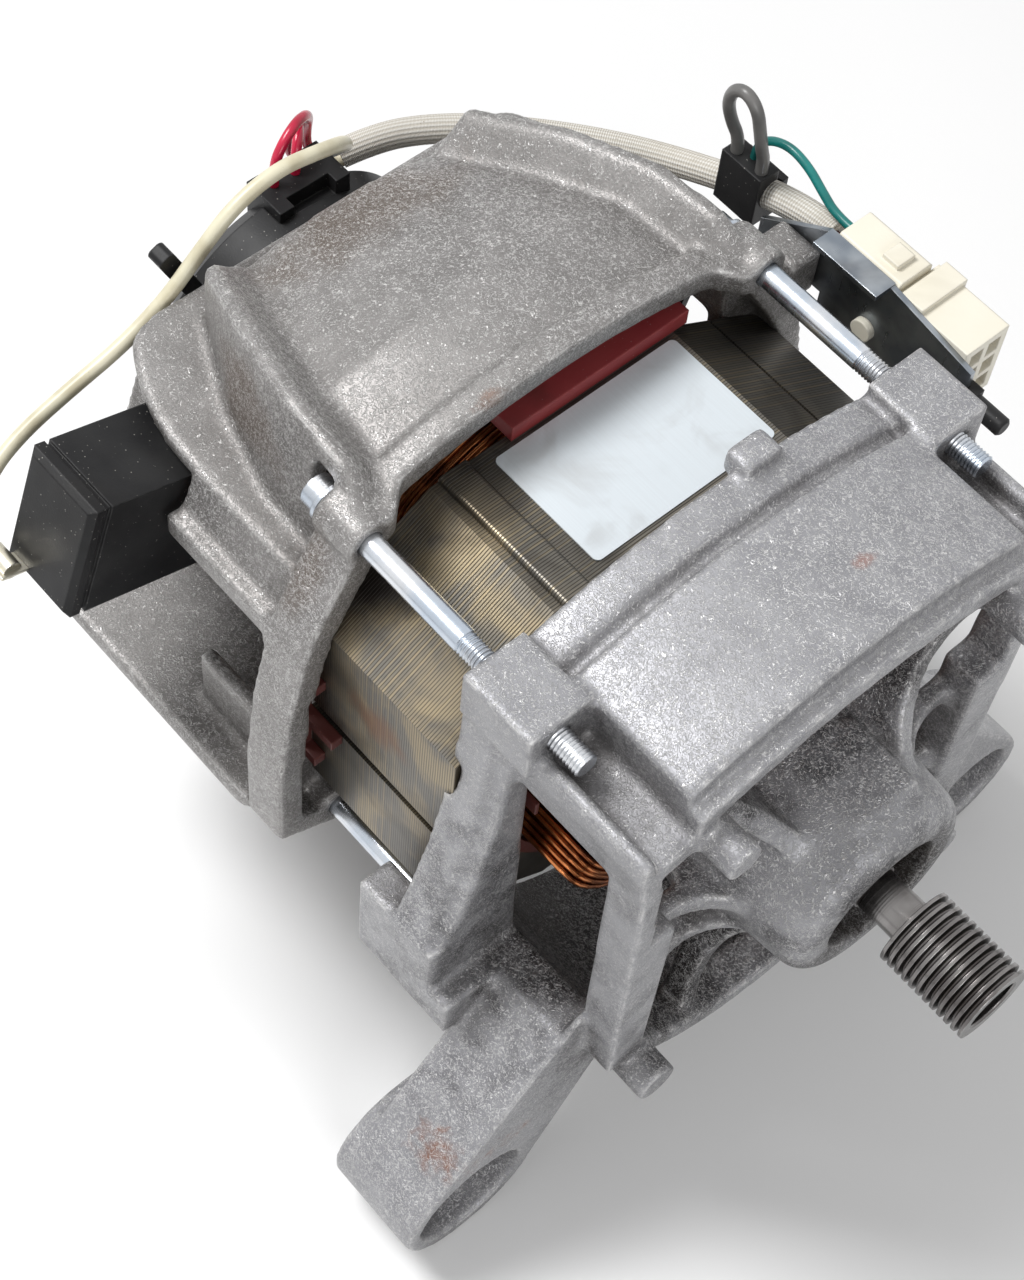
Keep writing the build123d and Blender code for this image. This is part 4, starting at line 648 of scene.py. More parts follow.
@dataclass(frozen=True)
class MouldedFinish(Finish):
    """Moulded plastic, rubber or pressed powder with a fine skin, rubbed edges and dust."""

    colour: Colour = (0.009, 0.009, 0.010)
    rubbed: Colour = (0.045, 0.045, 0.045)
    soil_and_shade: Colour = (0.04, 0.036, 0.03)
    roughness: float = 0.42
    darkening: float = 0.15
    dust: float = 0.5
    gloss: float = 0.5
    speck: Colour = (0.5, 0.48, 0.44)
    reach: float = 6.0
    edge_radius: float = 0.7
    depth: float = 0.06

    def wire(self, graph: Graph, effects: Effects) -> dict[str, object]:
        """Wires the moulding's skin, rubbed edges, dust, dirty patches and painted corner shade.

        Args:
            graph: the material's graph.
            effects: the shared effects.

        Returns:
            Principled BSDF input name to its value or socket.
        """
        place = graph.place()
        edge = graph.effect(effects.edge_wear, Radius=self.edge_radius * MM)
        grime_and_shade = graph.effect(effects.grime_and_shade, Reach=self.reach * MM, Corners=self.darkening, Patches=self.darkening)
        specks = graph.effect(effects.dust, Amount=self.dust)
        tone = graph.ramp(graph.noise(place, scale=45.0, detail=4.0), low=0.3, high=0.7, end=0.35)
        colour = graph.mix(tone, self.colour, self.rubbed)
        colour = graph.mix(graph.times(edge.outputs["Edge"], 0.7), colour, self.rubbed)
        # Painted shade: ambient occlusion darkens corners towards the soil colour, together with dirty
        # patches.
        colour = graph.mix(grime_and_shade.outputs["Mask"], colour, self.soil_and_shade)
        colour = graph.mix(specks.outputs["Mask"], colour, self.speck)
        skin = graph.noise(place, scale=1800.0)
        uneven = graph.times(graph.noise(place, scale=120.0, detail=3.0), 0.2)
        return {
            "Base Color": colour,
            "Roughness": graph.plus(uneven, self.roughness - 0.1),
            "Specular IOR Level": self.gloss,
            "Normal": graph.relief(skin, 0.4, self.depth, edge.outputs["Normal"]),
        }


@dataclass(frozen=True)
class InsulationFinish(Finish):
    """Soft insulation of a lead: slightly uneven, with a faint sheen and a few dust specks."""

    colour: Colour
    shade: Colour
    roughness: float
    dust: float = 0.35
    speck: Colour = (0.25, 0.2, 0.15)
    depth: float = 0.1

    def wire(self, graph: Graph, effects: Effects) -> dict[str, object]:
        """Wires the insulation's tone and unevenness.

        Args:
            graph: the material's graph.
            effects: the shared effects.

        Returns:
            Principled BSDF input name to its value or socket.
        """
        place = graph.place()
        tone = graph.ramp(graph.noise(place, scale=110.0, detail=3.0), low=0.35, high=0.7)
        specks = graph.effect(effects.dust, Amount=self.dust)
        colour = graph.mix(tone, self.colour, self.shade)
        colour = graph.mix(specks.outputs["Mask"], colour, self.speck)
        normal = graph.relief(graph.noise(place, scale=400.0), 0.3, self.depth)
        return {"Base Color": colour, "Roughness": self.roughness, "Normal": normal}


@dataclass(frozen=True)
class WovenFinish(Finish):
    """Woven glass sleeve: crossing strands that follow the tube's own UV map."""

    colour: Colour = (0.80, 0.78, 0.73)
    groove: Colour = (0.50, 0.46, 0.39)
    speck: Colour = (0.20, 0.12, 0.06)
    along: float = 120.0
    around: float = 10.0
    dust: float = 0.9
    roughness: float = 0.75
    depth: float = 0.3

    def wire(self, graph: Graph, effects: Effects) -> dict[str, object]:
        """Wires the weave on the UV map.

        Args:
            graph: the material's graph.
            effects: the shared effects.

        Returns:
            Principled BSDF input name to its value or socket.
        """
        uv = graph.node("ShaderNodeUVMap", uv_map="UVMap")
        axes = graph.node("ShaderNodeSeparateXYZ", {0: uv.outputs[0]})
        run = graph.times(axes.outputs["X"], self.along)
        turn = graph.times(axes.outputs["Y"], self.around)
        slants = (graph.plus(run, turn), graph.minus(run, turn))
        waves = [graph.maths("SINE", graph.times(slant, math.tau)) for slant in slants]
        weave = graph.ramp(graph.times(*waves), low=-0.9, high=0.9)
        place = graph.place()
        darkening = graph.ramp(graph.noise(place, scale=60.0, detail=5.0), low=0.45, high=0.75, end=0.5)
        specks = graph.effect(effects.dust, Amount=self.dust)
        colour = graph.mix(weave, self.groove, self.colour)
        colour = graph.mix(darkening, colour, self.groove)
        colour = graph.mix(specks.outputs["Mask"], colour, self.speck)
        fuzz = graph.plus(weave, graph.times(graph.noise(place, scale=2500.0), 0.5))
        normal = graph.relief(fuzz, 0.8, self.depth)
        return {"Base Color": colour, "Roughness": self.roughness, "Normal": normal}


@dataclass(frozen=True)
class CopperFinish(Finish):
    """Enamelled copper wire, browned by heat, with bright glints and painted shade in its hollows."""

    bright: Colour = (0.72, 0.26, 0.09)
    dull: Colour = (0.20, 0.06, 0.025)
    burnt_and_shaded: Colour = (0.03, 0.012, 0.008)
    metal: float = 0.85
    roughness: float = 0.24
    reach: float = 3.0
    depth: float = 0.05

    def wire(self, graph: Graph, effects: Effects) -> dict[str, object]:
        """Wires the enamel's tones.

        Args:
            graph: the material's graph.
            effects: the shared effects.

        Returns:
            Principled BSDF input name to its value or socket.
        """
        place = graph.place()
        tone = graph.ramp(graph.noise(place, scale=130.0, detail=4.0), low=0.35, high=0.68)
        grime_and_shade = graph.effect(effects.grime_and_shade, Reach=self.reach * MM, Corners=0.7, Patches=0.15)
        colour = graph.mix(tone, self.bright, self.dull)
        # Painted shade: ambient occlusion darkens the hollows towards near-black, with a few dirty patches.
        colour = graph.mix(grime_and_shade.outputs["Mask"], colour, self.burnt_and_shaded)
        normal = graph.relief(graph.noise(place, scale=900.0), 0.3, self.depth)
        return {"Base Color": colour, "Metallic": self.metal, "Roughness": self.roughness, "Normal": normal}


@dataclass(frozen=True)
class FoilFinish(Finish):
    """Bare foil: fine brushed grain, faint creases and smudges, nothing printed."""

    colour: Colour = (0.70, 0.76, 0.80)
    brushed: Colour = (0.5, 0.51, 0.53)
    smudged: Colour = (0.36, 0.35, 0.34)
    grain: Point = (40.0, 2200.0, 40.0)
    metal: float = 0.2
    roughness: float = 0.34
    depth: float = 0.15

    def wire(self, graph: Graph, effects: Effects) -> dict[str, object]:
        """Wires the foil's grain and smudges.

        Args:
            graph: the material's graph.
            effects: the shared effects.

        Returns:
            Principled BSDF input name to its value or socket.
        """
        place = graph.place()
        lines = graph.noise(graph.vector("MULTIPLY", place, self.grain).outputs[0], scale=1.0)
        cloud = graph.noise(place, scale=60.0, detail=5.0, distortion=0.8)
        smudge = graph.ramp(cloud, low=0.5, high=0.75, end=0.35)
        colour = graph.mix(graph.times(lines, 0.3), self.colour, self.brushed)
        colour = graph.mix(smudge, colour, self.smudged)
        rough = graph.plus(graph.times(lines, 0.12), self.roughness)
        creases = graph.noise(place, scale=120.0, detail=3.0, distortion=0.5)
        normal = graph.relief(creases, 0.25, self.depth)
        return {"Base Color": colour, "Metallic": self.metal, "Roughness": rough, "Normal": normal}


@dataclass(frozen=True)
class FloorFinish(Finish):
    """The studio's matt floor, almost white."""

    dark: Colour = (0.90, 0.90, 0.90)
    light: Colour = (0.93, 0.93, 0.93)
    roughness: float = 0.9

    def wire(self, graph: Graph, effects: Effects) -> dict[str, object]:
        """Wires the floor's faint cloudiness.

        Args:
            graph: the material's graph.
            effects: the shared effects.

        Returns:
            Principled BSDF input name to its value or socket.
        """
        colour = graph.mix(graph.noise(graph.place(), scale=3.0), self.dark, self.light)
        return {"Base Color": colour, "Roughness": self.roughness}


@dataclass
class Workshop:
    """What every sub-assembly builds with: the frame, the finishes and the list of pieces made."""

    frame: dict
    effects: Effects
    materials: dict[str, bpy.types.Material] = field(default_factory=dict)
    pieces: list[str] = field(default_factory=list)

    def finish(self, finish: Finish) -> bpy.types.Material:
        """Makes a finish's material, once.

        Args:
            finish: the finish.

        Returns:
            Its material.
        """
        if finish.name not in self.materials:
            self.materials[finish.name] = finish.material(self.effects)
        return self.materials[finish.name]

    def dress(self, finish: Finish, *nodes: str) -> None:
        """Gives CAD nodes their finish.

        Args:
            finish: the finish that they get.
            nodes: the nodes' names.
        """
        material = self.finish(finish)
        for node in nodes:
            shape = self.frame["nodes"][node]
            if not shape.material_slots:
                shape.data.materials.append(material)
            for slot in shape.material_slots:
                slot.material = material

    def add(
        self, piece: bpy.types.Object, finish: Finish, body: Body, slot: str, replaced: Sequence[str] = ()
    ) -> None:
        """Finishes a new piece and hands it to its body.

        Args:
            piece: the piece, with its place in its mesh.
            finish: the finish that it gets.
            body: the body that it rides on.
            slot: the record's material slot; not used.
            replaced: the CAD nodes that it stands for.
        """
        piece.data.materials.clear()
        piece.data.materials.append(self.finish(finish))
        if replaced:
            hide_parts(*replaced)
        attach(piece, body.value)
        self.pieces.append(piece.name)
        log.info("built %s on %s", piece.name, body.value)


def scene_object(name: str, data: bpy.types.ID) -> bpy.types.Object:
    """Puts a new object into the scene.

    Args:
        name: the object's name.
        data: its mesh, curve, camera or light.

    Returns:
        The new object.
    """
    made = bpy.data.objects.new(name, data)
    bpy.context.scene.collection.objects.link(made)
    return made


def mesh_object(name: str, mesh: bmesh.types.BMesh, smooth: bool = True) -> bpy.types.Object:
    """Turns a bmesh into an object at the origin.

    Args:
        name: the object's name.
        mesh: the bmesh, which is freed.
        smooth: whether its faces are shaded smooth.

    Returns:
        The new object.
    """
    data = bpy.data.meshes.new(name)
    bmesh.ops.recalc_face_normals(mesh, faces=mesh.faces)
    for face in mesh.faces:
        face.smooth = smooth
    mesh.to_mesh(data)
    mesh.free()
    return scene_object(name, data)


def settled(holder: bpy.types.Object, name: str) -> bpy.types.Object:
    """Turns a curve, or a mesh with modifiers, into a smooth mesh object and removes the one it came from.

    Args:
        holder: the object to settle.
        name: the new object's name.

    Returns:
        The mesh object.
    """
    bpy.context.view_layer.update()
    shaped = bpy.data.meshes.new_from_object(holder.evaluated_get(bpy.context.evaluated_depsgraph_get()))
    bpy.data.objects.remove(holder)
    shaped.name = name
    for face in shaped.polygons:
        face.use_smooth = True
    return scene_object(name, shaped)


def tubes(
    name: str,
    routes: Sequence[Sequence[Vector]],
    radius: float,
    closed: bool = False,
    fineness: int = 3,
    sides: int = 1,
) -> bpy.types.Object:
    """Makes round tubes along smooth curves and gives them as one mesh.

    Args:
        name: the object's name.
        routes: each tube's control points, in metres.
        radius: the tubes' radius, in millimetres.
        closed: whether each tube is a closed loop.
        fineness: steps between two control points.
        sides: how round the section is.

    Returns:
        The mesh object.
    """
    data = bpy.data.curves.new(name, "CURVE")
    data.dimensions = "3D"
    data.bevel_depth = radius * MM
    data.bevel_resolution = sides
    data.resolution_u = fineness
    data.use_fill_caps = not closed
    for route in routes:
        spline = data.splines.new("NURBS")
        spline.points.add(len(route) - 1)
        for point, place in zip(spline.points, route):
            point.co = (*place, 1.0)
        spline.use_cyclic_u = closed
        spline.order_u = SPLINE_ORDER
        spline.use_endpoint_u = not closed
    made = settled(scene_object(f"{name}_curve", data), name)
    bpy.data.curves.remove(data)
    return made


BROWN_FILM = (0.135, 0.105, 0.085)
# Near-black painted shade for the front casting.
PAINTED_SHADE = (0.03, 0.028, 0.03)
PINK_RUST = (0.34, 0.17, 0.13)
ARM_RUST = (0.25, 0.10, 0.05)
RIM_RUST = (0.16, 0.075, 0.04)
STACK_RUST = (0.20, 0.085, 0.035)
REAR_CAST = CastFinish(
    "rear_casting",
    light=(0.26, 0.25, 0.245),
    dark=(0.20, 0.192, 0.187),
    grain=620.0,
    patches=0.12,
    stains=(
        Stain((-222.0, 0.0, 68.0), (24.0, 44.0, 18.0), BROWN_FILM, 0.75, 60.0),
        Stain((-200.0, -56.0, 62.0), (52.0, 9.0, 14.0), BROWN_FILM, 0.85, 60.0),
        Stain((-200.0, 56.0, 62.0), (52.0, 9.0, 14.0), BROWN_FILM, 0.85, 60.0),
        Stain((-155.0, -72.0, 58.0), (9.0, 16.0, 26.0), BROWN_FILM, 0.6, 60.0),
        Stain((-151.0, -22.0, 84.0), (4.0, 8.0, 4.0), RIM_RUST, 0.5, 300.0),
    ),
)
FRONT_CAST = CastFinish(
    "front_casting",
    light=(0.33, 0.33, 0.345),
    dark=(0.26, 0.26, 0.275),
    grain=600.0,
    patches=0.05,
    stains=(
        Stain((-66.0, 14.0, 85.0), (3.0, 5.0, 3.0), PINK_RUST, 0.55, 400.0),
        # Painted shade: the near-black marks darken the hub and round and below it, the hollow under the lip
        # above it, and the lower and inner parts of the shield.
        Stain((-24.0, 0.0, 0.0), (24.0, 40.0, 40.0), PAINTED_SHADE, 0.9, 120.0),
        Stain((-28.0, -22.0, -18.0), (24.0, 26.0, 26.0), PAINTED_SHADE, 0.9, 120.0),
        Stain((-28.0, 22.0, -10.0), (16.0, 22.0, 34.0), PAINTED_SHADE, 0.9, 120.0),
        Stain((-72.0, -36.0, -60.0), (60.0, 50.0, 50.0), PAINTED_SHADE, 0.95, 60.0),
        Stain((-72.0, 36.0, -60.0), (60.0, 50.0, 50.0), PAINTED_SHADE, 0.95, 60.0),
        Stain((-40.0, -10.0, -34.0), (34.0, 50.0, 26.0), PAINTED_SHADE, 0.85, 120.0),
        Stain((-54.0, 8.0, 46.0), (24.0, 110.0, 30.0), PAINTED_SHADE, 0.85, 120.0),
        Stain((-86.0, 0.0, -40.0), (62.0, 132.0, 124.0), PAINTED_SHADE, 0.9, 120.0),
        Stain((-64.0, -91.0, -84.0), (14.0, 26.0, 10.0), ARM_RUST, 0.9, 300.0),
    ),
)
LAMINATIONS = LaminationFinish(
    "lamination_stack",
    stains=(
        # Painted shadow: the first mark darkens the stack under the left bolt, by the rim.
        Stain((-146.0, -62.0, 55.0), (26.0, 16.0, 20.0), DARK_VARNISH_AND_SHADE, 0.9, 90.0),
        Stain((-150.0, 10.0, 62.0), (7.0, 60.0, 8.0), DARK_VARNISH_AND_SHADE, 0.85, 120.0),
        Stain((-128.0, -73.0, 22.0), (14.0, 6.0, 12.0), STACK_RUST, 0.6, 120.0),
    ),
)
BRIGHT_ZINC = SteelFinish("bright_zinc", (0.72, 0.74, 0.77), (0.52, 0.58, 0.66), roughness=0.24, darkening=0.22)
BRACKET_ZINC = SteelFinish("bracket_zinc", (0.40, 0.43, 0.46), (0.22, 0.25, 0.29), roughness=0.3, darkening=0.5)
OILED_STEEL = SteelFinish(
    "oiled_steel",
    (0.26, 0.25, 0.245),
    (0.13, 0.12, 0.118),
    roughness=0.2,
    darkening=0.6,
    grain=(1600.0, 50.0, 50.0),
)
GROUND_STEEL = SteelFinish("ground_steel", (0.70, 0.70, 0.71), (0.58, 0.58, 0.60), roughness=0.14, darkening=0.1)
TIN = SteelFinish("tinned_terminal", (0.78, 0.74, 0.62), (0.62, 0.58, 0.46), roughness=0.3, darkening=0.2)
BLACK_MOULDING = MouldedFinish("black_moulding", gloss=0.18)
SEAL_RUBBER = MouldedFinish("seal_rubber", (0.02, 0.02, 0.02), (0.05, 0.05, 0.05), roughness=0.65, dust=0.2)
RED_MOULDING = MouldedFinish(
    "red_moulding",
    (0.26, 0.028, 0.032),
    (0.36, 0.07, 0.065),
    (0.05, 0.02, 0.018),
    roughness=0.5,
    darkening=0.5,
    dust=0.3,
)
# A darker copy of the red moulding: painted shade for the front frame and clips inside the windows.
SHADED_RED_MOULDING = MouldedFinish(
    "shaded_red_moulding",
    (0.07, 0.012, 0.01),
    (0.14, 0.035, 0.025),
    (0.03, 0.015, 0.012),
    roughness=0.5,
    darkening=0.5,
    dust=0.3,
)
IVORY_MOULDING = MouldedFinish(
    "ivory_moulding",
    (0.78, 0.74, 0.62),
    (0.86, 0.83, 0.74),
    (0.42, 0.36, 0.26),
    darkening=0.25,
    dust=0.0,
)
CARBON = MouldedFinish("pressed_carbon", (0.035, 0.035, 0.038), (0.09, 0.09, 0.10), roughness=0.4, dust=0.1)
MAGNET = MouldedFinish("sintered_magnet", (0.06, 0.06, 0.065), (0.14, 0.14, 0.14), roughness=0.4, dust=0.1)
COPPER_STRANDS = CopperFinish("copper_strands")
COMMUTATOR_COPPER = CopperFinish("commutator_copper", (0.66, 0.33, 0.17), (0.24, 0.12, 0.07), roughness=0.22)
RATING_FOIL = FoilFinish("bare_rating_foil")
SLEEVE = WovenFinish("woven_glass_sleeve")
RED_WIRE = InsulationFinish("red_insulation", (0.55, 0.012, 0.055), (0.36, 0.006, 0.03), 0.22)
CREAM_WIRE = InsulationFinish("cream_insulation", (0.70, 0.66, 0.50), (0.56, 0.51, 0.36), 0.35)
GREY_WIRE = InsulationFinish("grey_insulation", (0.16, 0.155, 0.15), (0.10, 0.098, 0.095), 0.35)
TEAL_WIRE = InsulationFinish("teal_insulation", (0.01, 0.22, 0.20), (0.006, 0.13, 0.12), 0.3)
DARK_RED_WIRE = InsulationFinish("dark_red_insulation", (0.12, 0.012, 0.012), (0.07, 0.008, 0.008), 0.35)
FLOOR = FloorFinish("studio_floor")


@dataclass
class Shields:
    """The two die-cast end shields and the bolts that draw them together."""

    shop: Workshop
    merged: float = 0.001
    voxel: float = 1.1
    ease: float = 0.5
    passes: int = 4
    kept: float = 0.55

    def casting(self, node: str, finish: Finish) -> None:
        """Rebuilds a shield from a copy of its CAD form, with the rounded corners and blends of a casting.

        Args:
            node: the shield's node.
            finish: the finish that it gets.
        """
        source = self.shop.frame["nodes"][node]
        mesh = bmesh.new()
        mesh.from_mesh(source.data)
        bmesh.ops.transform(mesh, matrix=source.matrix_world, verts=mesh.verts)
        bmesh.ops.remove_doubles(mesh, verts=mesh.verts, dist=self.merged * MM)
        rough = mesh_object(f"{node}_rough", mesh)
        shell = rough.modifiers.new("shell", "REMESH")
        shell.mode = "VOXEL"
        shell.voxel_size = self.voxel * MM
        shell.use_smooth_shade = True
        blend = rough.modifiers.new("blend", "SMOOTH")
        blend.factor = self.ease
        blend.iterations = self.passes
        thin = rough.modifiers.new("thin", "DECIMATE")
        thin.ratio = self.kept
        cast = settled(rough, f"{node}_cast")
        log.info("%s has %d triangles", node, sum(len(face.vertices) - 2 for face in cast.data.polygons))
        self.shop.add(cast, finish, Body.HOUSING, "die_cast", (node,))

    def build(self) -> None:
        """Casts the shields and dresses their bolts."""
        self.casting("front_shield", FRONT_CAST)
        self.casting("rear_shield", REAR_CAST)
        self.shop.dress(BRIGHT_ZINC, "through_bolts")


@dataclass
class FieldWinding:
    """The stator's two field coils as bundles of enamelled strands."""

    shop: Workshop
    middle: float = -126.0
    low_radius: float = 42.3
    high_radius: float = 52.0
    inner_angle: float = 42.0
    outer_angle: float = 69.5
    inner_run: float = 29.0
    outer_run: float = 47.0
    corner_cut: float = 5.0
    spread_stops: tuple[float, ...] = (-1.0, -0.86, -0.55, -0.18, 0.18, 0.55, 0.86, 1.0)
    sway: float = 0.5
    lift: float = 0.4
    columns: int = 16
    layers: int = 7
    end_columns: int = 2
    inner_layers: int = 1
    outer_layers: int = 2
    strand: float = 0.75
    seed: int = 11

    def loop(self, pole: float, column: int, layer: int, dice: random.Random) -> list[Vector]:
        """Lays one strand's loop round a pole.

        Args:
            pole: the pole's angle in degrees.
            column: how far out the loop lies in its nest, from 0.
            layer: how far from the shaft it lies, from 0.
            dice: the source of small unevenness.

        Returns:
            The loop's control points.
        """
        out = column / (self.columns - 1)
        spread = self.inner_angle + (self.outer_angle - self.inner_angle) * out
        run = self.inner_run + (self.outer_run - self.inner_run) * out
        radius = self.low_radius + (self.high_radius - self.low_radius) * layer / (self.layers - 1)
        points = []
        for end in (1, -1):
            for stop in self.spread_stops:
                cut = self.corner_cut if abs(stop) == 1.0 else 0.0
                x = self.middle + end * (run - cut + dice.uniform(-self.sway, self.sway))
                height = radius + dice.uniform(-self.sway, self.lift)
                points.append(polar(x, height, pole + end * stop * spread))
            points.append(polar(self.middle, radius, pole + end * spread))
        return points

    def shows(self, column: int, layer: int) -> bool:
        """Says whether a strand lies at the nest's surface, because only those are laid.

        Args:
            column: how far out the strand lies in its nest, from 0.
            layer: how far from the shaft it lies, from 0.

        Returns:
            Whether it shows.
        """
        at_side = not self.end_columns <= column < self.columns - self.end_columns
        return at_side or not self.inner_layers <= layer < self.layers - self.outer_layers

    def build(self) -> None:
        """Builds both coils and puts them in the place of their CAD forms."""
        for place, pole in (("upper", 90.0), ("lower", -90.0)):
            dice = random.Random(self.seed + int(pole))
            routes = [
                self.loop(pole, column, layer, dice)
                for column in range(self.columns)
                for layer in range(self.layers)
                if self.shows(column, layer)
            ]
            coil = tubes(f"{place}_coil_strands", routes, self.strand, closed=True)
            replaced = (f"{place}_field_coil", f"{place}_field_wire")
            self.shop.add(coil, COPPER_STRANDS, Body.HOUSING, "copper", replaced)


@dataclass
class Stator:
    """The lamination stack with its frames, plate and field winding."""

    shop: Workshop

    def build(self) -> None:
        """Dresses the stack and builds its winding."""
        self.shop.dress(LAMINATIONS, "stator_core")
        self.shop.dress(RATING_FOIL, "rating_plate")
        self.shop.dress(RED_MOULDING, "winding_frame_rear")
        # The front frame and clips take the painted-shade copy of the red moulding.
        self.shop.dress(SHADED_RED_MOULDING, "winding_frame_front", "winding_frame_clips")
        FieldWinding(self.shop).build()


@dataclass
class ArmatureHead:
    """One copper head of the armature: strands laid from slot to slot over a wound core."""

    shop: Workshop
    place: str
    face: float
    way: int
    overhang: float = 18.6
    outer: float = 30.2
    hub: float = 13.2
    foot_step: float = 2.0
    shoulder_step: float = 2.5
    brow_share: float = 0.78
    crown_share: float = 0.6
    facets: int = 48
    merged: float = 0.001
    slots: int = 24
    layers: int = 4
    steps: int = 8
    throw: float = 132.0
    start_sway: float = 3.0
    lead_in: float = 0.6
    first_height: float = 0.55
    layer_height: float = 0.12
    layer_depth: float = 0.6
    waist: float = 9.0
    layer_waist: float = 1.2
    rise_power: float = 0.6
    waist_power: float = 1.5
    strand: float = 0.7
    seed: int = 5

    def core(self) -> bpy.types.Object:
        """Spins the wound core under the strands.

        Returns:
            The core's object.
        """
        profile = (
            (0.0, self.hub),
            (0.0, self.outer - self.foot_step),
            (0.45, self.outer - self.shoulder_step),
            (0.8, self.brow_share * self.outer),
            (0.93, self.crown_share * self.outer),
            (0.93, self.hub),
        )
        mesh = bmesh.new()
        verts = [
            mesh.verts.new(polar(self.face + self.way * share * self.overhang, radius, 0.0))
            for share, radius in profile
        ]
        edges = [mesh.edges.new((a, b)) for a, b in zip(verts, verts[1:] + verts[:1])]
        bmesh.ops.spin(
            mesh,
            geom=[*verts, *edges],
            cent=(0, 0, 0),
            axis=(1, 0, 0),
            angle=math.tau,
            steps=self.facets,
            use_merge=True,
        )
        bmesh.ops.remove_doubles(mesh, verts=mesh.verts, dist=self.merged * MM)
        return mesh_object(f"armature_core_{self.place}", mesh)

    def strands(self) -> list[list[Vector]]:
        """Lays the strands from slot to slot.

        Returns:
            Each strand's control points.
        """
        dice = random.Random(self.seed)
        routes = []
        for slot in range(self.slots):
            for layer in range(self.layers):
                start = 360.0 * slot / self.slots + dice.uniform(-self.start_sway, self.start_sway)
                height = (self.first_height + self.layer_height * layer) * self.overhang
                waist = self.waist - self.layer_waist * layer
                points = []
                for step in range(self.steps + 1):
                    share = step / self.steps
                    arch = math.sin(math.pi * share)
                    radius = self.outer - self.layer_depth * layer - waist * arch**self.waist_power
                    x = self.face + self.way * (self.lead_in + height * arch**self.rise_power)
                    points.append(polar(x, radius, start + self.throw * share))
                routes.append(points)
        return routes

    def build(self) -> None:
        """Builds the head in the place of its CAD form."""
        core = self.core()
        self.shop.add(core, COPPER_STRANDS, Body.ROTOR, "copper", (f"armature_winding_{self.place}",))
        lay = tubes(f"armature_strands_{self.place}", self.strands(), self.strand)
        self.shop.add(lay, COPPER_STRANDS, Body.ROTOR, "copper")


@dataclass
class Rotor:
    """The turning parts, from pulley to tacho magnet, and the bearings that carry them."""

    shop: Workshop
    front_face: float = -100.0
    rear_face: float = -152.0

    def build(self) -> None:
        """Dresses the rotor and its bearings and builds the copper heads."""
        self.shop.dress(OILED_STEEL, "shaft", "shaft_collar", "drive_pulley")
        self.shop.dress(LAMINATIONS, "rotor_core")
        self.shop.dress(COMMUTATOR_COPPER, "commutator")
        self.shop.dress(MAGNET, "tacho_magnet")
        self.shop.dress(BLACK_MOULDING, "commutator_hub")
        self.shop.dress(BRIGHT_ZINC, "wave_washer")
        for place in ("front", "rear"):
            rings = [f"{place}_bearing_{ring}" for ring in ("outer_ring", "inner_ring", "balls")]
            self.shop.dress(GROUND_STEEL, *rings)
            self.shop.dress(SEAL_RUBBER, f"{place}_bearing_seals")
            self.shop.dress(RED_MOULDING, f"armature_insulator_{place}")
        ArmatureHead(self.shop, "front", self.front_face, 1).build()
        ArmatureHead(self.shop, "rear", self.rear_face, -1).build()


@dataclass
class BrushGear:
    """One brush box with its brush, spring and terminal."""

    shop: Workshop
    place: str
    side: int
    station: float = -212.5
    tilt: float = 18.0
    spring_foot: float = 57.95
    spring_top: float = 80.6
    spring_radius: float = 2.5
    wire: float = 0.35
    turns: int = 9
    turn_steps: int = 12
    travel: float = 10.0

    @property
    def outwards(self) -> Vector:
        """The direction in which the brush is pressed back."""
        a = math.radians(self.tilt)
        return Vector((0.0, self.side * math.cos(a), -self.side * math.sin(a)))

    def spring(self) -> bpy.types.Object:
        """Winds the brush's spring.

        Returns:
            The spring's object.
        """
        outwards = self.outwards
        across = Vector((0.0, outwards.z, -outwards.y))
        base = Vector((self.station * MM, 0.0, 0.0))
        points = []
        steps = self.turn_steps * self.turns
        for step in range(steps + 1):
            a = math.tau * step / self.turn_steps
            rise = self.spring_foot + (self.spring_top - self.spring_foot) * step / steps
            off = Vector((math.cos(a), 0.0, 0.0)) + across * math.sin(a)
            points.append(base + (off * self.spring_radius + outwards * rise) * MM)
        return tubes(f"{self.place}_spring_wire", [points], self.wire)

    def build(self) -> None:
        """Dresses the box and winds the spring."""
        self.shop.dress(BLACK_MOULDING, f"{self.place}_brush_holder")
        self.shop.dress(CARBON, f"{self.place}_carbon_brush")
        self.shop.dress(TIN, f"{self.place}_brush_terminal")
        wound = self.spring()
        self.shop.add(wound, BRIGHT_ZINC, Body.HOUSING, "zinc_steel", (f"{self.place}_brush_spring",))
        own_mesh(wound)


@dataclass
class TachoEnd:
    """The tacho's cap, coil and connector at the rear."""

    shop: Workshop

    def build(self) -> None:
        """Dresses the tacho."""
        self.shop.dress(BLACK_MOULDING, "tacho_cap", "tacho_connector")
        self.shop.dress(COPPER_STRANDS, "tacho_coil")


@dataclass(frozen=True)
class Lead:
    """One lead: the CAD node that it stands for, its slot, finish, radius and route."""

    node: str
    slot: str
    finish: Finish
    radius: float
    route: tuple[Point, ...]


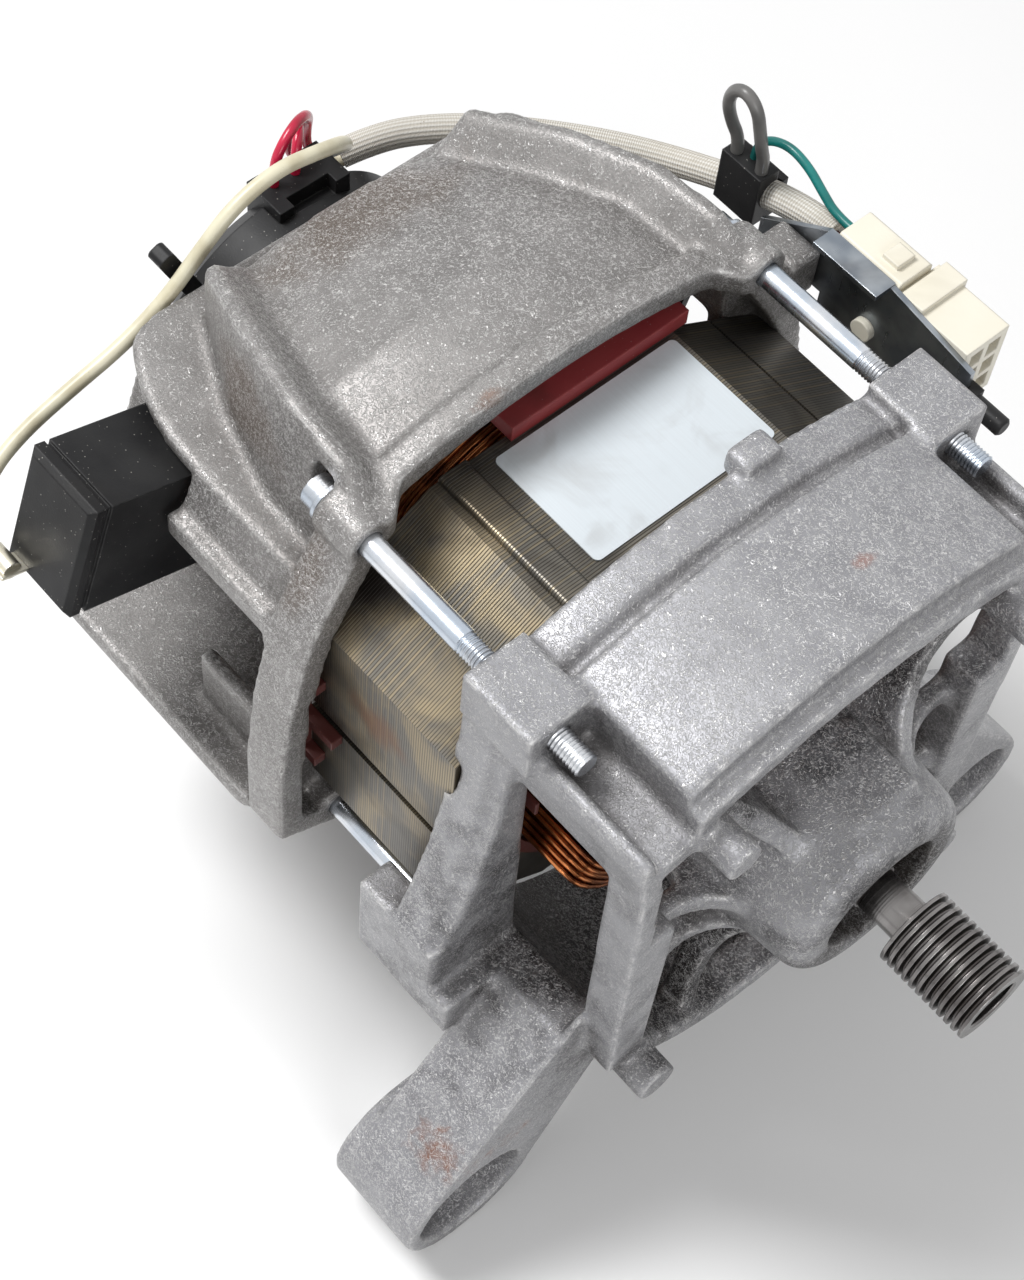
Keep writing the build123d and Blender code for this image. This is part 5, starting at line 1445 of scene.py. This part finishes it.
LEADS = (
    Lead(
        "white_sleeve",
        "sleeve_glass",
        SLEEVE,
        4.0,
        (
            (-265.5, 28.0, 30.0), (-262.0, 38.0, 33.0), (-254.0, 49.0, 36.0), (-242.0, 61.0, 38.5),
            (-222.0, 78.0, 40.0), (-200.0, 91.0, 42.0), (-160.0, 91.0, 62.5), (-147.0, 91.0, 62.5),
        ),
    ),
    Lead(
        "cream_brush_lead",
        "cream_insulation",
        CREAM_WIRE,
        2.0,
        (
            (-263.83, 27.32, 29.97), (-264.94, 24.14, 29.0), (-265.0, 20.8, 32.5),
            (-262.5, 19.8, 38.5), (-257.5, 20.2, 45.0), (-252.0, 19.0, 52.0), (-247.5, 14.0, 60.0),
            (-244.0, 4.0, 67.0), (-243.5, -10.0, 70.5), (-243.5, -24.0, 66.5), (-243.5, -35.0, 57.0),
            (-243.5, -46.0, 47.0), (-243.5, -60.0, 39.5), (-243.5, -76.0, 35.0), (-243.5, -92.0, 29.5),
            (-241.0, -104.0, 25.0), (-233.05, -114.2, 20.8), (-225.05, -114.2, 20.8),
        ),
    ),
    Lead(
        "red_tacho_lead_a",
        "red_insulation",
        RED_WIRE,
        1.4,
        (
            (-257.0, -1.0, 46.05), (-257.0, -1.0, 53.5), (-257.8, 3.0, 58.8), (-259.8, 8.8, 60.5),
            (-262.8, 14.2, 57.0), (-266.0, 17.6, 51.0), (-268.5, 19.0, 44.0), (-269.5, 19.6, 37.5),
            (-269.5, 21.0, 32.8), (-268.55, 24.4, 30.4), (-267.28, 28.06, 31.51),
        ),
    ),
    Lead(
        "red_tacho_lead_b",
        "red_insulation",
        RED_WIRE,
        1.4,
        (
            (-257.0, 6.0, 46.05), (-257.0, 6.0, 50.0), (-259.6, 9.0, 54.6), (-263.8, 12.6, 53.4),
            (-267.5, 15.2, 48.5), (-270.7, 15.6, 42.0), (-272.4, 15.6, 35.0), (-272.0, 17.8, 29.6),
            (-270.2, 21.4, 27.2), (-268.26, 25.2, 27.3), (-266.99, 28.88, 28.43),
        ),
    ),
    Lead(
        "grey_lead",
        "grey_insulation",
        GREY_WIRE,
        1.7,
        (
            (-180.5, 88.0, 66.05), (-180.5, 88.0, 70.5), (-183.0, 86.3, 76.5), (-184.0, 85.0, 83.0),
            (-182.3, 84.5, 89.0), (-178.0, 84.3, 91.5), (-173.9, 84.5, 88.5), (-172.2, 85.0, 82.0),
            (-171.5, 86.2, 75.5), (-171.5, 88.0, 70.5), (-171.5, 88.0, 66.05),
        ),
    ),
    Lead(
        "teal_lead",
        "teal_insulation",
        TEAL_WIRE,
        1.2,
        (
            (-176.0, 90.0, 66.05), (-176.0, 90.0, 70.5), (-173.0, 91.0, 74.5), (-167.0, 91.8, 76.5),
            (-160.0, 91.5, 75.5), (-153.5, 91.0, 72.0), (-148.0, 90.5, 69.5), (-142.05, 90.5, 69.5),
        ),
    ),
    Lead(
        "dark_red_lead",
        "dark_red_insulation",
        DARK_RED_WIRE,
        1.2,
        (
            (-146.95, 91.0, 62.5), (-145.0, 91.0, 62.5), (-144.0, 91.0, 62.5), (-142.05, 91.0, 62.5),
        ),
    ),
)


@dataclass
class Connections:
    """The connectors on their bracket, the clip, the sleeve and the leads."""

    shop: Workshop
    fineness: int = 10
    sides: int = 6

    def build(self) -> None:
        """Dresses the connectors and lays the leads."""
        self.shop.dress(IVORY_MOULDING, "connector_plug", "connector_housing", "connector_peg")
        self.shop.dress(BLACK_MOULDING, "bracket_pin", "cable_clip")
        self.shop.dress(BRACKET_ZINC, "connector_bracket", "bracket_screw")
        for lead in LEADS:
            route = millimetres(lead.route)
            laid = tubes(f"{lead.node}_laid", [route], lead.radius, fineness=self.fineness, sides=self.sides)
            self.shop.add(laid, lead.finish, Body.HOUSING, lead.slot, (lead.node,))


@dataclass
class Studio:
    """The pale floor, the soft lights and the camera at the photograph's angle, all in metres."""

    effects: Effects
    floor_level: float
    floor_reach: float = 4.0
    sensor: float = 36.0
    focal: float = 71.877
    near: float = 0.01
    place: Point = (0.09154, -0.26966, 0.55383)
    right: Point = (0.65663, 0.75118, 0.06761)
    up: Point = (-0.66878, 0.53846, 0.51264)
    forward: Point = (-0.34868, 0.38183, -0.85594)
    sky_seen: float = 1.0
    sky_light: float = 0.4

    def camera(self) -> None:
        """Sets the camera up."""
        lens = bpy.data.cameras.new("studio_camera")
        lens.sensor_fit = "VERTICAL"
        lens.sensor_height = self.sensor
        lens.lens = self.focal
        lens.clip_start = self.near
        holder = scene_object("studio_camera", lens)
        turn = Matrix((self.right, self.up, [-v for v in self.forward])).transposed().to_4x4()
        holder.matrix_world = Matrix.Translation(self.place) @ turn
        bpy.context.scene.camera = holder

    def lamp(self, name: str, place: Point, aim: Point, size: float, power: float) -> None:
        """Hangs one soft lamp.

        Args:
            name: the lamp's name.
            place: where it hangs.
            aim: the point that it faces.
            size: its width.
            power: its power in watts.
        """
        data = bpy.data.lights.new(name, "AREA")
        data.shape = "SQUARE"
        data.size = size
        data.energy = power
        holder = scene_object(name, data)
        facing = (Vector(aim) - Vector(place)).to_track_quat("-Z", "Y").to_matrix().to_4x4()
        holder.matrix_world = Matrix.Translation(place) @ facing

    def floor(self) -> None:
        """Lays the floor."""
        mesh = bmesh.new()
        bmesh.ops.create_grid(mesh, x_segments=1, y_segments=1, size=self.floor_reach)
        bmesh.ops.translate(mesh, verts=mesh.verts, vec=(0, 0, self.floor_level))
        laid = mesh_object("studio_floor", mesh, smooth=False)
        laid.data.materials.append(FLOOR.material(self.effects))
        laid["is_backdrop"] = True

    def world(self) -> None:
        """Lights the surroundings: white where they are seen or mirrored, softer as a light."""
        world = bpy.data.worlds.new("studio_world")
        bpy.context.scene.world = world
        world.use_nodes = True
        world.node_tree.nodes.clear()
        graph = Graph(world.node_tree)
        path = graph.node("ShaderNodeLightPath")
        shown = graph.maths("MAXIMUM", path.outputs["Is Camera Ray"], path.outputs["Is Glossy Ray"])
        shown = graph.maths("MAXIMUM", shown, path.outputs["Is Transmission Ray"])
        strength = graph.plus(graph.times(shown, self.sky_seen - self.sky_light), self.sky_light)
        sky = graph.node("ShaderNodeBackground", {"Color": (1.0, 1.0, 1.0), "Strength": strength})
        graph.node("ShaderNodeOutputWorld", {"Surface": sky.outputs[0]})

    def build(self) -> None:
        """Sets up the whole studio."""
        bpy.context.scene.view_settings.view_transform = "Standard"
        self.camera()
        self.floor()
        self.world()
        self.lamp("key_lamp", place=(-0.75, -0.35, 1.15), aim=(-0.12, 0.0, 0.0), size=0.5, power=17.0)
        self.lamp("front_lamp", place=(0.9, -0.5, 0.6), aim=(-0.1, 0.0, 0.0), size=0.6, power=5.0)


def main() -> None:
    """Builds the studio and every sub-assembly, in order."""
    logging.basicConfig(level=logging.INFO, format="%(name)s: %(message)s")
    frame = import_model()
    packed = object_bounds()
    effects = Effects()
    Studio(effects, floor_level=packed[0][2]).build()
    shop = Workshop(frame, effects)
    for assembly in (
        Connections(shop),
        Shields(shop),
        Stator(shop),
        Rotor(shop),
        BrushGear(shop, "left", -1),
        BrushGear(shop, "right", 1),
        TachoEnd(shop),
    ):
        assembly.build()
    log.info("%d new pieces", len(shop.pieces))


if __name__ == "__main__":
    main()
